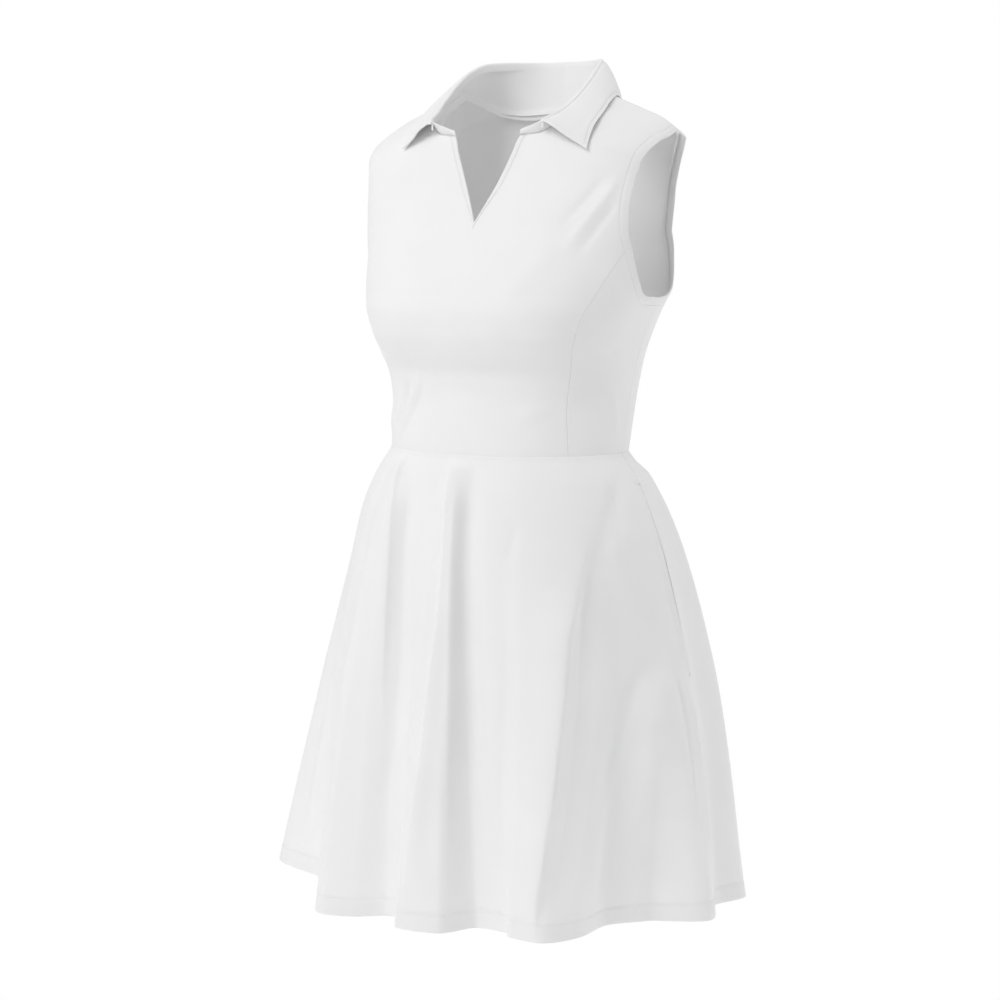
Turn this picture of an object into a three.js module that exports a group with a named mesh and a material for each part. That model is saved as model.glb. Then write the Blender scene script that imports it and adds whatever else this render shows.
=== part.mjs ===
// A sleeveless tennis dress, worn by nobody and still holding its worn shape.
// Millimetres, +Z up. The front faces -Y and the wearer's left side is +X.
// The origin lies midway between the two shoulder seams, where the wearer's shoulders carry the dress.
import * as THREE from "three";

// Cloth
const clothWall = 1.2;
const doubledWall = 2.2; // bindings, collar and turned hem are two layers
const seamGap = 0.3;

// Shoulders and neck, measured from the middle of the body
const neckPointX = 80;
const seamEndX = 161;
const shoulderSlope = 0.42;
const crownRound = 25; // how softly the shoulder slope starts beside the middle
const tipRoundStart = 145;
const tipRound = 0.03; // how the shoulder bends down at its tip
const vDepthLevel = -116;
const vCornerLevel = -26;
const backNeckLevel = 0;

// Heights on the body
const waistLevel = -346;
const underarmLevel = -199;
const princessTopLevel = -142;
const skirtLength = 466;
const hemDepth = 18;

// Narrow pieces
const armholeBandWidth = 9;
const vBindingWidth = 6; // across, at the top of the V
const vPointWidth = 2.4; // across, at the point of the V
const vPointDrop = 5.5; // how far the binding runs on below the point
const bandProud = 0.5; // how far a band stands out of the panel that it edges

// Side seams, in degrees round the body from centre front
const sideSeamTurn = 93;

// Pocket in each side seam, by its distance below the waist seam
const pocketTop = 28;
const pocketBottom = 222;
const pocketGape = 3.4;
const pocketBagBottom = 275;
const pocketLean = 52; // degrees that the bag turns inward from the side seam

const degree = Math.PI / 180;
const slopeFall = (x) =>
  Math.hypot(x, crownRound) - crownRound + tipRound * Math.max(0, Math.abs(x) - tipRoundStart) ** 2;
const shoulderLevel = (shoulderSlope * (slopeFall(neckPointX) + slopeFall(seamEndX))) / 2;

// The bodice as sections from the waist to the shoulder seam. level is the height at the middle;
// front and back are how far the section reaches before and behind the shoulder line; side is where
// it is widest; the fullness makes a corner rounder (2) or squarer (3); slope drops it to the sides.
const bodiceSections = [
  { level: waistLevel, halfWidth: 127, front: 138, back: 50, side: -44, frontFull: 2.15, backFull: 2.2, slope: 0 },
  { level: -294, halfWidth: 130, front: 132, back: 62, side: -34, frontFull: 2.2, backFull: 2.2, slope: 0 },
  { level: -270, halfWidth: 133, front: 134, back: 67, side: -31, frontFull: 2.3, backFull: 2.2, slope: 0 },
  { level: -245, halfWidth: 138, front: 146, back: 71, side: -30, frontFull: 2.5, backFull: 2.25, slope: 0 },
  { level: -226, halfWidth: 143, front: 154, back: 75, side: -28, frontFull: 2.65, backFull: 2.35, slope: 0 },
  { level: -206, halfWidth: 149, front: 157, back: 80, side: -24, frontFull: 2.7, backFull: 2.45, slope: 0 },
  { level: -184, halfWidth: 156, front: 150, back: 84, side: -18, frontFull: 2.65, backFull: 2.6, slope: 0.01 },
  { level: -144, halfWidth: 163, front: 130, back: 84, side: -12, frontFull: 2.65, backFull: 2.7, slope: 0.03 },
  { level: vDepthLevel, halfWidth: 170, front: 114, back: 82, side: -8, frontFull: 2.75, backFull: 2.8, slope: 0.06 },
  { level: -73, halfWidth: 177, front: 98, back: 80, side: -4, frontFull: 3, backFull: 2.9, slope: 0.12 },
  { level: vCornerLevel, halfWidth: 180, front: 87, back: 75, side: 0, frontFull: 3, backFull: 2.9, slope: 0.2 },
  { level: 12, halfWidth: 182, front: 54, back: 62, side: 0, frontFull: 2.8, backFull: 2.7, slope: 0.31 },
  { level: 31, halfWidth: 183, front: 24, back: 33, side: 0, frontFull: 2.6, backFull: 2.5, slope: 0.38 },
  { level: shoulderLevel, halfWidth: 184, front: 0, back: 0, side: 0, frontFull: 2.4, backFull: 2.4, slope: shoulderSlope },
];

// The seam that joins the armhole bands, in degrees round the body on the front and the back.
const armholeSeam = [
  { level: underarmLevel, front: sideSeamTurn, back: sideSeamTurn },
  { level: -197, front: 86, back: 101 },
  { level: -190, front: 80, back: 109 },
  { level: -178, front: 75, back: 119 },
  { level: -161, front: 69, back: 126 },
  { level: princessTopLevel, front: 62.5, back: 132 },
  { level: vDepthLevel, front: 53.5, back: 140 },
  { level: -73, front: 48, back: 142 },
  { level: vCornerLevel, front: 50.5, back: 138 },
  { level: 12, front: 55, back: 130 },
  { level: 31, front: 58, back: 123 },
  { level: shoulderLevel, front: 59, back: 121 },
];

// The princess seam from the waist up to the armhole, in degrees from centre front.
const princessSeam = [
  { level: waistLevel, turn: 52 },
  { level: -291, turn: 48 },
  { level: -244, turn: 49 },
  { level: -206, turn: 52 },
  { level: -171, turn: 56.5 },
  { level: princessTopLevel, turn: 62 },
];

// Half the width of the neck opening, by the height on the front and on the back.
const frontNeck = [
  { level: vDepthLevel, x: 0 },
  { level: -73, x: 19.5 },
  { level: -44, x: 31 },
  { level: vCornerLevel, x: 37.5 },
  { level: -19, x: 57 },
  { level: -11, x: 66 },
  { level: 12, x: 76 },
  { level: shoulderLevel, x: neckPointX },
];
const backNeck = [
  { level: backNeckLevel, x: 0 },
  { level: 3, x: 30 },
  { level: 10, x: 52 },
  { level: 22, x: 70 },
  { level: shoulderLevel, x: neckPointX },
];

// The collar along half its length, from the point of the V round to centre back: roll is the fold
// line at its top and edge is where the leaf ends.
const collarLine = [
  { along: 0, rollX: 38, rollY: -87, rollZ: -24, edgeX: 0, edgeY: 0, edgeZ: 0 },
  { along: 0.07, rollX: 51, rollY: -89, rollZ: -20, edgeX: 0, edgeY: 0, edgeZ: 0 },
  { along: 0.14, rollX: 63, rollY: -89, rollZ: -16, edgeX: 108, edgeY: -84, edgeZ: -41.5 },
  { along: 0.26, rollX: 71, rollY: -64, rollZ: -4, edgeX: 106, edgeY: -64, edgeZ: -16.5 },
  { along: 0.37, rollX: 75, rollY: -41, rollZ: 10, edgeX: 104, edgeY: -39, edgeZ: -3 },
  { along: 0.48, rollX: 76, rollY: -19, rollZ: 25, edgeX: 101, edgeY: -16, edgeZ: 8.5 },
  { along: 0.6, rollX: 73, rollY: 5, rollZ: 40, edgeX: 98, edgeY: 8, edgeZ: 14 },
  { along: 0.72, rollX: 65, rollY: 30, rollZ: 49, edgeX: 88, edgeY: 39, edgeZ: 9 },
  { along: 0.84, rollX: 46, rollY: 57, rollZ: 51, edgeX: 62, edgeY: 68, edgeZ: 5 },
  { along: 0.93, rollX: 22, rollY: 73, rollZ: 51, edgeX: 31, edgeY: 81, edgeZ: 3 },
  { along: 1, rollX: 0, rollY: 77, rollZ: 51, edgeX: 0, edgeY: 85, edgeZ: 3 },
];
const collarLeafStart = 0.14;
const leafClearance = 3.4;
const leafBulge = 4;

// The skirt before it falls into folds, by the distance below the waist seam.
const skirtSections = [
  { drop: 0, halfWidth: 127, front: 138, back: 50, side: -44, full: 2.15 },
  { drop: 28, halfWidth: 146, front: 151, back: 66, side: -41, full: 2.15 },
  { drop: 60, halfWidth: 161, front: 161, back: 84, side: -38, full: 2.15 },
  { drop: 110, halfWidth: 178, front: 171, back: 108, side: -33, full: 2.1 },
  { drop: 210, halfWidth: 201, front: 185, back: 140, side: -25, full: 2.1 },
  { drop: 320, halfWidth: 221, front: 199, back: 162, side: -20, full: 2 },
  { drop: skirtLength, halfWidth: 240, front: 214, back: 184, side: -18, full: 2 },
];
const skirtAxisY = -20;

// The folds round the hem, each row a ridge, a trough or a place between: hem and waist are its
// degrees from centre front at both ends, radius is its distance from the skirt's axis at the hem,
// and start is how far below the waist seam it begins.
const frontFolds = [
  { hem: -98, waist: -sideSeamTurn, radius: 271, start: 60 },
  { hem: -84, waist: -82, radius: 288, start: 70 },
  { hem: -67, waist: -66, radius: 213, start: 60 },
  { hem: -54, waist: -50, radius: 193, start: 30 },
  { hem: -33, waist: -31, radius: 232, start: 0 },
  { hem: -24, waist: -21, radius: 207, start: 20 },
  { hem: -14, waist: -11, radius: 174, start: 20 },
  { hem: -7, waist: -4, radius: 202, start: 0 },
  { hem: 6, waist: 7, radius: 197, start: 30 },
  { hem: 16, waist: 15, radius: 166, start: 20 },
  { hem: 24, waist: 21, radius: 176, start: 30 },
  { hem: 28, waist: 24, radius: 196, start: 30 },
  { hem: 35, waist: 31, radius: 214, start: 30 },
  { hem: 44, waist: 42, radius: 208, start: 40 },
  { hem: 60, waist: 58, radius: 174, start: 80 },
  { hem: 73, waist: 70, radius: 187, start: 120 },
  { hem: 85.5, waist: 82, radius: 233, start: 150 },
  { hem: 98, waist: sideSeamTurn, radius: 215, start: 60 },
];
const backFolds = [
  { hem: 98, waist: sideSeamTurn, radius: 215, start: 60 },
  { hem: 109, waist: 107, radius: 239, start: 30 },
  { hem: 122, waist: 121, radius: 189, start: 40 },
  { hem: 136, waist: 134, radius: 230, start: 10 },
  { hem: 150, waist: 148, radius: 177, start: 40 },
  { hem: 163, waist: 161, radius: 210, start: 10 },
  { hem: 174, waist: 173, radius: 181, start: 50 },
  { hem: 187, waist: 186, radius: 218, start: 0 },
  { hem: 199, waist: 198, radius: 183, start: 40 },
  { hem: 212, waist: 211, radius: 214, start: 20 },
  { hem: 226, waist: 225, radius: 189, start: 40 },
  { hem: 239, waist: 238, radius: 244, start: 10 },
  { hem: 251, waist: 252, radius: 212, start: 50 },
  { hem: 262, waist: 360 - sideSeamTurn, radius: 271, start: 60 },
];
const foldGrowth = 1.15; // above 1 a fold opens later on its way down
const turned = (rows, degrees) =>
  rows.map((row) => ({ ...row, hem: row.hem + degrees, waist: row.waist + degrees }));
const folds = [
  ...turned(backFolds.slice(-4, -1), -360),
  ...frontFolds,
  ...backFolds.slice(1),
  ...turned(frontFolds.slice(1, 4), 360),
];

// The pocket bag's outline in plan, from its front lip round to its back lip: forward along the
// side seam's cloth and inward from it.
const pocketOutline = [
  { forward: 3, inward: 2.2, stretch: 0 },
  { forward: 8, inward: 7, stretch: 0 },
  { forward: 16, inward: 13, stretch: 0 },
  { forward: 30, inward: 16, stretch: 0.5 },
  { forward: 30, inward: 15, stretch: 0.92 },
  { forward: 32, inward: 19, stretch: 1 },
  { forward: 28, inward: 23, stretch: 0.92 },
  { forward: 26, inward: 25, stretch: 0.5 },
  { forward: 8, inward: 21, stretch: 0 },
  { forward: 0, inward: 12, stretch: 0 },
  { forward: -3, inward: 2.2, stretch: 0 },
];
const pocketRows = [
  { drop: pocketTop - 8, reach: 20, shut: 0.5 },
  { drop: pocketTop, reach: 34, shut: 0 },
  { drop: 80, reach: 62, shut: 0 },
  { drop: 140, reach: 72, shut: 0 },
  { drop: 200, reach: 74, shut: 0 },
  { drop: pocketBottom, reach: 70, shut: 0 },
  { drop: pocketBagBottom - 14, reach: 52, shut: 0 },
  { drop: pocketBagBottom, reach: 36, shut: 0.3 },
];

// A smooth curve through the rows of a table that never swings past them, read at one place.
function read(table, key, column, place) {
  const last = table.length - 1;
  if (place <= table[0][key]) return table[0][column];
  if (place >= table[last][key]) return table[last][column];
  const next = table.findIndex((row) => row[key] > place);
  const slope = (i) =>
    (table[i + 1][column] - table[i][column]) / (table[i + 1][key] - table[i][key]);
  const tangent = (i) => {
    if (i === 0) return slope(0);
    if (i === last) return slope(last - 1);
    const before = slope(i - 1);
    const after = slope(i);
    return before * after <= 0 ? 0 : (2 * before * after) / (before + after);
  };
  const from = table[next - 1];
  const to = table[next];
  const span = to[key] - from[key];
  const t = (place - from[key]) / span;
  return (
    from[column] * (1 + 2 * t) * (1 - t) ** 2 +
    to[column] * t * t * (3 - 2 * t) +
    span * t * (1 - t) * (tangent(next - 1) * (1 - t) - tangent(next) * t)
  );
}

function sectionAt(table, key, place) {
  const section = {};
  for (const column of Object.keys(table[0])) section[column] = read(table, key, column, place);
  return section;
}

// A point of one section, in degrees round the body: 0 is centre front, 180 centre back.
function sectionPoint(section, turn) {
  const across = Math.sin(turn * degree);
  const along = Math.cos(turn * degree);
  const power = 2 / (along > 0 ? section.frontFull : section.backFull);
  const reach = along > 0 ? section.front + section.side : section.back - section.side;
  return new THREE.Vector2(
    section.halfWidth * Math.sign(across) * Math.abs(across) ** power,
    section.side - reach * Math.sign(along) * Math.abs(along) ** power,
  );
}

function bodicePoint(level, turn) {
  const section = sectionAt(bodiceSections, "level", level);
  const { x, y } = sectionPoint(section, turn);
  return new THREE.Vector3(x, y, level - section.slope * slopeFall(x));
}

// The turn at which a bodice section is x wide, on its front or back half.
function turnAcross(level, x, half) {
  const section = sectionAt(bodiceSections, "level", level);
  const full = half === "front" ? section.frontFull : section.backFull;
  const turn = Math.asin(Math.min(1, Math.abs(x) / section.halfWidth) ** (full / 2)) / degree;
  return half === "front" ? turn : 180 - turn;
}

function skirtSection(drop) {
  const section = sectionAt(skirtSections, "drop", drop);
  return { ...section, frontFull: section.full, backFull: section.full };
}

// A point of the skirt, by its place round the hem in degrees and its distance below the waist seam.
function skirtPoint(hemTurn, drop) {
  const depth = Math.max(0, drop);
  const fallen = depth / skirtLength;
  const turn = THREE.MathUtils.lerp(read(folds, "hem", "waist", hemTurn), hemTurn, fallen);
  const start = read(folds, "hem", "start", hemTurn);
  const radius = read(folds, "hem", "radius", hemTurn);
  const grown = THREE.MathUtils.clamp((depth - start) / (skirtLength - start), 0, 1) ** foldGrowth;
  const calm = sectionPoint(skirtSection(depth), turn);
  const calmHem = sectionPoint(skirtSection(skirtLength), hemTurn);
  const { x, y } = calm.addScaledVector(
    new THREE.Vector2(
      radius * Math.sin(hemTurn * degree) - calmHem.x,
      skirtAxisY - radius * Math.cos(hemTurn * degree) - calmHem.y,
    ),
    grown,
  );
  return new THREE.Vector3(x, y, waistLevel - drop);
}

// The outward direction of a surface given as a function of two places.
function outwardOf(surface, u, v, du, dv) {
  const alongU = surface(u + du, v).sub(surface(u - du, v));
  const alongV = surface(u, v + dv).sub(surface(u, v - dv));
  return alongU.cross(alongV).normalize();
}

function bodiceOutward(level, turn) {
  const inside = THREE.MathUtils.clamp(level, waistLevel + 1, shoulderLevel - 1);
  const out = outwardOf(bodicePoint, inside, turn, 0.8, 0.4);
  if (out.dot(new THREE.Vector3(Math.sin(turn * degree), -Math.cos(turn * degree), 0.6)) < 0) out.negate();
  // At the shoulder seam the front and the back share one direction, straight out of the ridge.
  out.y *= THREE.MathUtils.smoothstep(shoulderLevel - level, 0, 14);
  return out.normalize();
}

// Collects the corners and four-sided faces of one layer of cloth, each corner with its outward direction.
class Skin {
  constructor() {
    this.corners = [];
    this.faces = [];
    this.known = new Map();
  }
  corner(point, outward, wall) {
    const key = [point.x, point.y, point.z].map((v) => v.toFixed(2)).join();
    if (!this.known.has(key)) {
      this.known.set(key, this.corners.length);
      this.corners.push({ point, outward, wall });
    }
    return this.known.get(key);
  }
  // lines is a list of rows of corner numbers, every row of the same length.
  mesh(lines) {
    for (let row = 1; row < lines.length; row += 1) {
      for (let k = 1; k < lines[row].length; k += 1) {
        this.faces.push([lines[row - 1][k - 1], lines[row - 1][k], lines[row][k], lines[row][k - 1]]);
      }
    }
  }
  // The outward direction of every corner as the mean of its faces.
  faceOutward() {
    const sums = this.corners.map(() => new THREE.Vector3());
    for (const face of this.faces) {
      const [a, b, c, d] = face.map((corner) => this.corners[corner].point);
      const direction = c.clone().sub(a).cross(d.clone().sub(b));
      face.forEach((corner) => sums[corner].add(direction));
    }
    this.corners.forEach((corner, i) => {
      corner.outward = sums[i].normalize();
    });
    return this;
  }
  // Closes the layer with a second one inside it, a wall's thickness away, and edges between the two.
  solid() {
    const count = this.corners.length;
    const position = [
      ...this.corners.map(({ point }) => point),
      ...this.corners.map(({ point, outward, wall }) => point.clone().addScaledVector(outward, -wall)),
    ];
    const triangles = [];
    const addFace = (corners) => {
      const ring = corners.filter((c, i) => c !== corners[(i + 1) % corners.length]);
      for (let k = 2; k < ring.length; k += 1) triangles.push([ring[0], ring[k - 1], ring[k]]);
    };
    const edges = new Map();
    for (const face of this.faces) {
      addFace(face);
      addFace([face[0], ...face.slice(1).reverse()].map((c) => c + count)); // split along the same diagonal
      face.forEach((from, i) => {
        const to = face[(i + 1) % face.length];
        if (from === to) return;
        if (edges.has(`${to},${from}`)) edges.delete(`${to},${from}`);
        else edges.set(`${from},${to}`, [from, to]);
      });
    }
    for (const [from, to] of edges.values()) addFace([to, from, from + count, to + count]);
    const geometry = new THREE.BufferGeometry();
    geometry.setAttribute("position", new THREE.Float32BufferAttribute(position.flatMap((p) => p.toArray()), 3));
    geometry.setIndex(triangles.flat());
    geometry.computeVertexNormals();
    return geometry;
  }
}

const between = (from, to, count) =>
  Array.from({ length: count + 1 }, (_, k) => THREE.MathUtils.lerp(from, to, k / count));

// Places along one bodice section from one turn to another, evenly spaced by the tape measure and
// held half a seam gap inside both ends.
function evenTurns(level, from, to, count) {
  const fine = between(from, to, 48);
  const points = fine.map((turn) => bodicePoint(level, turn));
  const run = [0];
  for (let k = 1; k < points.length; k += 1) run.push(run[k - 1] + points[k].distanceTo(points[k - 1]));
  const length = run[run.length - 1];
  const inset = Math.min(seamGap / 2, length / 4);
  return between(inset, length - inset, count).map((along) => {
    const k = Math.max(1, run.findIndex((r) => r >= along));
    return THREE.MathUtils.mapLinear(along, run[k - 1], run[k], fine[k - 1], fine[k]);
  });
}

// Rows of the bodice, closer where the armhole and the neckline turn.
const lowerLevels = [waistLevel + seamGap / 2, -328, -309, -289, -270, -252, -235, -219, underarmLevel];
const upperLevels = [-197, -190, -178, -161, princessTopLevel];
const yokeLevels = [-129, vDepthLevel, -94, -73, -44, vCornerLevel, -19, -11, 0, 12, 22, 31, 38, shoulderLevel];
const mirrored = (skinRows) => skinRows.map((row) => [...row].reverse());

function bodiceCorner(skin, level, turn, side) {
  const point = bodicePoint(level, turn);
  const outward = bodiceOutward(level, turn);
  if (level === shoulderLevel) point.y += turn < 90 ? -seamGap / 2 : seamGap / 2;
  point.x *= side;
  outward.x *= side;
  return skin.corner(point, outward, clothWall);
}

const princessTurn = (level) => read(princessSeam, "level", "turn", level);
const armholeTurn = (half) => (level) => read(armholeSeam, "level", half, level);
const backNeckTurn = (level) => turnAcross(level, read(backNeck, "level", "x", level), "back");

// The front panel ends at the V's binding, so its own edge lies the binding's width farther out.
const bindingAcross = (level) =>
  vPointWidth + (vBindingWidth - vPointWidth) * THREE.MathUtils.smoothstep(level, vDepthLevel, vDepthLevel + 40);
const bindingLevel = vDepthLevel - vPointDrop;
function panelNeckX(level) {
  if (level < vDepthLevel) return (vPointWidth * (level - bindingLevel)) / vPointDrop;
  const fade = THREE.MathUtils.clamp((level - vCornerLevel) / 12, 0, 1);
  return read(frontNeck, "level", "x", level) + bindingAcross(level) * (1 - fade);
}

function frontPanel() {
  const skin = new Skin();
  const outerEdge = (level) => (level <= princessTopLevel ? princessTurn(level) : armholeTurn("front")(level));
  const levels = [...lowerLevels, ...upperLevels, bindingLevel, ...yokeLevels].sort((a, b) => a - b);
  for (const side of [1, -1]) {
    const rows = levels.map((level) => {
      const inner = level <= bindingLevel ? 0 : turnAcross(level, panelNeckX(level), "front");
      const turns = evenTurns(level, inner, outerEdge(level), 8);
      if (level <= bindingLevel) turns[0] = 0;
      return turns.map((turn) => bodiceCorner(skin, level, turn, side));
    });
    skin.mesh(side > 0 ? rows : mirrored(rows));
  }
  return skin;
}

function sidePanel(side) {
  const skin = new Skin();
  const rows = [...lowerLevels, ...upperLevels].map((level) => {
    const rear = level <= underarmLevel ? sideSeamTurn : armholeTurn("front")(level);
    return evenTurns(level, princessTurn(level), rear, 4).map((turn) => bodiceCorner(skin, level, turn, side));
  });
  skin.mesh(side > 0 ? rows : mirrored(rows));
  return skin;
}

function backPanel() {
  const skin = new Skin();
  const outerEdge = (level) => (level <= underarmLevel ? sideSeamTurn : armholeTurn("back")(level));
  const innerEdge = (level) => (level <= backNeckLevel ? 180 : backNeckTurn(level));
  const yoke = yokeLevels.filter((level) => level !== -19 && level !== -11);
  for (const side of [1, -1]) {
    const rows = [...lowerLevels, ...upperLevels, ...yoke, 3, 7].sort((a, b) => a - b).map((level) => {
      const turns = evenTurns(level, outerEdge(level), innerEdge(level), 10);
      if (level <= backNeckLevel) turns[10] = 180;
      return turns.map((turn) => bodiceCorner(skin, level, turn, side));
    });
    skin.mesh(side > 0 ? rows : mirrored(rows));
  }
  return skin;
}

// The armhole band runs round the armhole seam and reaches its width into the opening.
function armholeBand(side) {
  const skin = new Skin();
  const seamPlace = (name) => (level) => {
    const turn = armholeTurn(name)(level);
    return { point: bodicePoint(level, turn), outward: bodiceOutward(level, turn) };
  };
  const rising = [...upperLevels, ...yokeLevels];
  const path = [
    { point: bodicePoint(underarmLevel, sideSeamTurn), outward: bodiceOutward(underarmLevel, sideSeamTurn) },
    ...rising.filter((level) => level !== -19 && level !== -11).map(seamPlace("back")),
    ...[...rising].reverse().slice(1).map(seamPlace("front")),
  ];
  const count = path.length;
  const rows = path.map(({ point, outward }, k) => {
    const before = path[(k + count - 1) % count].point;
    const after = path[(k + 1) % count].point;
    const inward = outward.clone().cross(after.clone().sub(before)).normalize();
    return [seamGap, armholeBandWidth * 0.6, armholeBandWidth].map((reach, column) => {
      const place = point.clone().addScaledVector(inward, reach);
      place.addScaledVector(outward, column === 2 ? 0 : bandProud);
      place.x *= side;
      return skin.corner(place, outward.clone().multiply(new THREE.Vector3(side, 1, 1)), doubledWall);
    });
  });
  rows.push(rows[0]);
  skin.mesh(side > 0 ? mirrored(rows) : rows);
  return skin;
}

// The binding of the V, mitred at its point.
function vBinding() {
  const skin = new Skin();
  const levels = [vDepthLevel, -110, -95, -79, -64, -50, -41, vCornerLevel];
  const place = (level, x) => {
    const turn = turnAcross(level, x, "front");
    const outward = bodiceOutward(level, turn);
    return { point: bodicePoint(level, turn).addScaledVector(outward, bandProud), outward };
  };
  for (const side of [1, -1]) {
    const rows = levels.map((level, k) => {
      const edge = read(frontNeck, "level", "x", level);
      const inset = bindingAcross(level) - seamGap * 1.5;
      const low = level - (k === 0 ? vPointDrop - seamGap * 3 : 0);
      return [place(level, edge), place((level + low) / 2, k === 0 ? 0 : edge + inset / 2), place(low, k === 0 ? 0 : edge + inset)];
    });
    const corners = rows.map((row) =>
      row.map(({ point, outward }) => {
        point.x *= side;
        outward.x *= side;
        return skin.corner(point, outward, doubledWall);
      }),
    );
    skin.mesh(side > 0 ? corners : mirrored(corners));
  }
  return skin;
}

// The neck seam, followed from the V's corner round to centre back as a share of its length.
const seamLine = [];
for (const level of between(vCornerLevel, shoulderLevel, 20)) {
  seamLine.push(bodicePoint(level, turnAcross(level, read(frontNeck, "level", "x", level), "front")));
}
for (const level of between(shoulderLevel, backNeckLevel, 20).slice(1)) {
  seamLine.push(bodicePoint(level, level === backNeckLevel ? 180 : backNeckTurn(level)));
}
const seamRun = [0];
seamLine.slice(1).forEach((point, k) => seamRun.push(seamRun[k] + point.distanceTo(seamLine[k])));
function neckSeam(along) {
  const reach = along * seamRun[seamRun.length - 1];
  const k = Math.max(1, seamRun.findIndex((run) => run >= reach - 1e-6));
  const share = (reach - seamRun[k - 1]) / (seamRun[k] - seamRun[k - 1]);
  return seamLine[k - 1].clone().lerp(seamLine[k], share);
}

function rollPoint(along) {
  const row = sectionAt(collarLine, "along", along);
  return new THREE.Vector3(row.rollX, row.rollY, row.rollZ);
}

// A collar piece from its start on the wearer's left, round the back, to its start on the right.
function collarPiece(places, across, pointAt) {
  const skin = new Skin();
  const left = places.map((along) => across.map((share) => pointAt(along, share)));
  const right = [...left].reverse().slice(1).map((row) => row.map((p) => new THREE.Vector3(-p.x, p.y, p.z)));
  skin.mesh([...left, ...right].map((row) => row.map((point) => skin.corner(point, null, doubledWall))));
  return skin.faceOutward();
}

const standPlaces = [0, 0.035, 0.07, 0.14, 0.2, 0.26, 0.32, 0.37, 0.43, 0.48, 0.54, 0.6, 0.66, 0.72, 0.78, 0.84, 0.89, 0.93, 0.97, 1];
function collarStand() {
  return collarPiece(standPlaces, [1, 0.66, 0.33, 0], (along, share) => {
    const seam = neckSeam(along);
    const rise = rollPoint(along).sub(seam);
    const foot = (clothWall / 2 + seamGap) / rise.length();
    return seam.addScaledVector(rise, foot + share * (1 - foot) * 0.96);
  });
}

function collarLeaf() {
  const places = standPlaces.filter((along) => along >= collarLeafStart);
  return collarPiece(places, [0, 0.06, 0.25, 0.5, 0.75, 1], (along, share) => {
    const row = sectionAt(collarLine.slice(2), "along", along);
    const roll = new THREE.Vector3(row.rollX, row.rollY, row.rollZ);
    const edge = new THREE.Vector3(row.edgeX, row.edgeY, row.edgeZ);
    const ahead = rollPoint(Math.min(1, along + 0.02));
    const behind = rollPoint(along - 0.02);
    const away = new THREE.Vector3(ahead.y - behind.y, behind.x - ahead.x, 0).normalize();
    const stand = leafClearance + leafBulge * Math.sin(Math.PI * share);
    return roll.lerp(edge, share).addScaledVector(away, stand * (1 - share)).add(
      new THREE.Vector3(0, 0, 1.4 * Math.min(1, share / 0.06) * (1 - share)),
    );
  });
}

const skirtDrops = [
  seamGap / 2, 12, pocketTop, 50, 80, 115, 150, 190, pocketBottom, 262, 305, 350, 400,
  skirtLength - hemDepth - 1, skirtLength - hemDepth, skirtLength,
];

// How far apart the two edges of a side seam stand: the seam gap, and more along the pocket mouth.
function seamOpening(drop) {
  const share = THREE.MathUtils.clamp((drop - pocketTop) / (pocketBottom - pocketTop), 0, 1);
  return seamGap + (pocketGape - seamGap) * Math.sin(Math.PI * share) ** 0.7;
}

function skirtOutward(turn, drop) {
  const outward = outwardOf(skirtPoint, turn, Math.max(1, drop), 0.4, 1);
  const round = new THREE.Vector3(Math.sin(turn * degree), -Math.cos(turn * degree), 0);
  return outward.dot(round) < 0 ? outward.negate() : outward;
}

function skirtPanel(rows) {
  const skin = new Skin();
  const first = rows[0].hem;
  const last = rows[rows.length - 1].hem;
  const turns = [first];
  for (let k = 1; k < rows.length; k += 1) {
    const arc = (rows[k].hem - rows[k - 1].hem) * degree * 200;
    turns.push(...between(rows[k - 1].hem, rows[k].hem, Math.max(2, Math.round(arc / 9))).slice(1));
  }
  const lines = skirtDrops.map((drop) => {
    const perDegree = (turn) => skirtPoint(turn, drop).distanceTo(skirtPoint(turn + 1, drop));
    const from = first + seamOpening(drop) / 2 / perDegree(first);
    const to = last - seamOpening(drop) / 2 / perDegree(last - 1);
    return turns.map((turn) => {
      const kept = THREE.MathUtils.clamp(turn, from, to);
      const doubled = drop >= skirtLength - hemDepth;
      return skin.corner(skirtPoint(kept, drop), skirtOutward(kept, drop), doubled ? doubledWall : clothWall);
    });
  });
  skin.mesh(mirrored(lines));
  return skin;
}

// A flat bag behind each pocket mouth, leaning forward inside the skirt.
function pocketBag(side) {
  const skin = new Skin();
  const hemTurn = side > 0 ? backFolds[0].hem : frontFolds[0].hem;
  const lean = pocketLean * degree;
  const lines = pocketRows.map(({ drop, reach, shut }) => {
    const seam = skirtPoint(hemTurn, drop);
    const outward = skirtOutward(hemTurn, drop).setZ(0).normalize();
    const forward = new THREE.Vector3(outward.y, -outward.x, 0).multiplyScalar(side);
    return pocketOutline.map((place, k) => {
      const twin = pocketOutline[pocketOutline.length - 1 - k];
      const ahead = THREE.MathUtils.lerp(place.forward, (place.forward + twin.forward) / 2, shut);
      const deep = THREE.MathUtils.lerp(place.inward, (place.inward + twin.inward) / 2, shut) + shut * 3;
      const far = place.stretch * reach;
      const point = seam.clone().addScaledVector(forward, ahead).addScaledVector(outward, -deep);
      point.x -= side * far * Math.sin(lean);
      point.y -= far * Math.cos(lean);
      return skin.corner(point, null, clothWall);
    });
  });
  skin.mesh(side > 0 ? lines : mirrored(lines));
  return skin.faceOutward();
}

const cloth = (name, skin, shade) => {
  const material = new THREE.MeshStandardMaterial({ color: shade, roughness: 0.85, metalness: 0 });
  const mesh = new THREE.Mesh(skin.solid(), material);
  mesh.name = name;
  return mesh;
};

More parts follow.
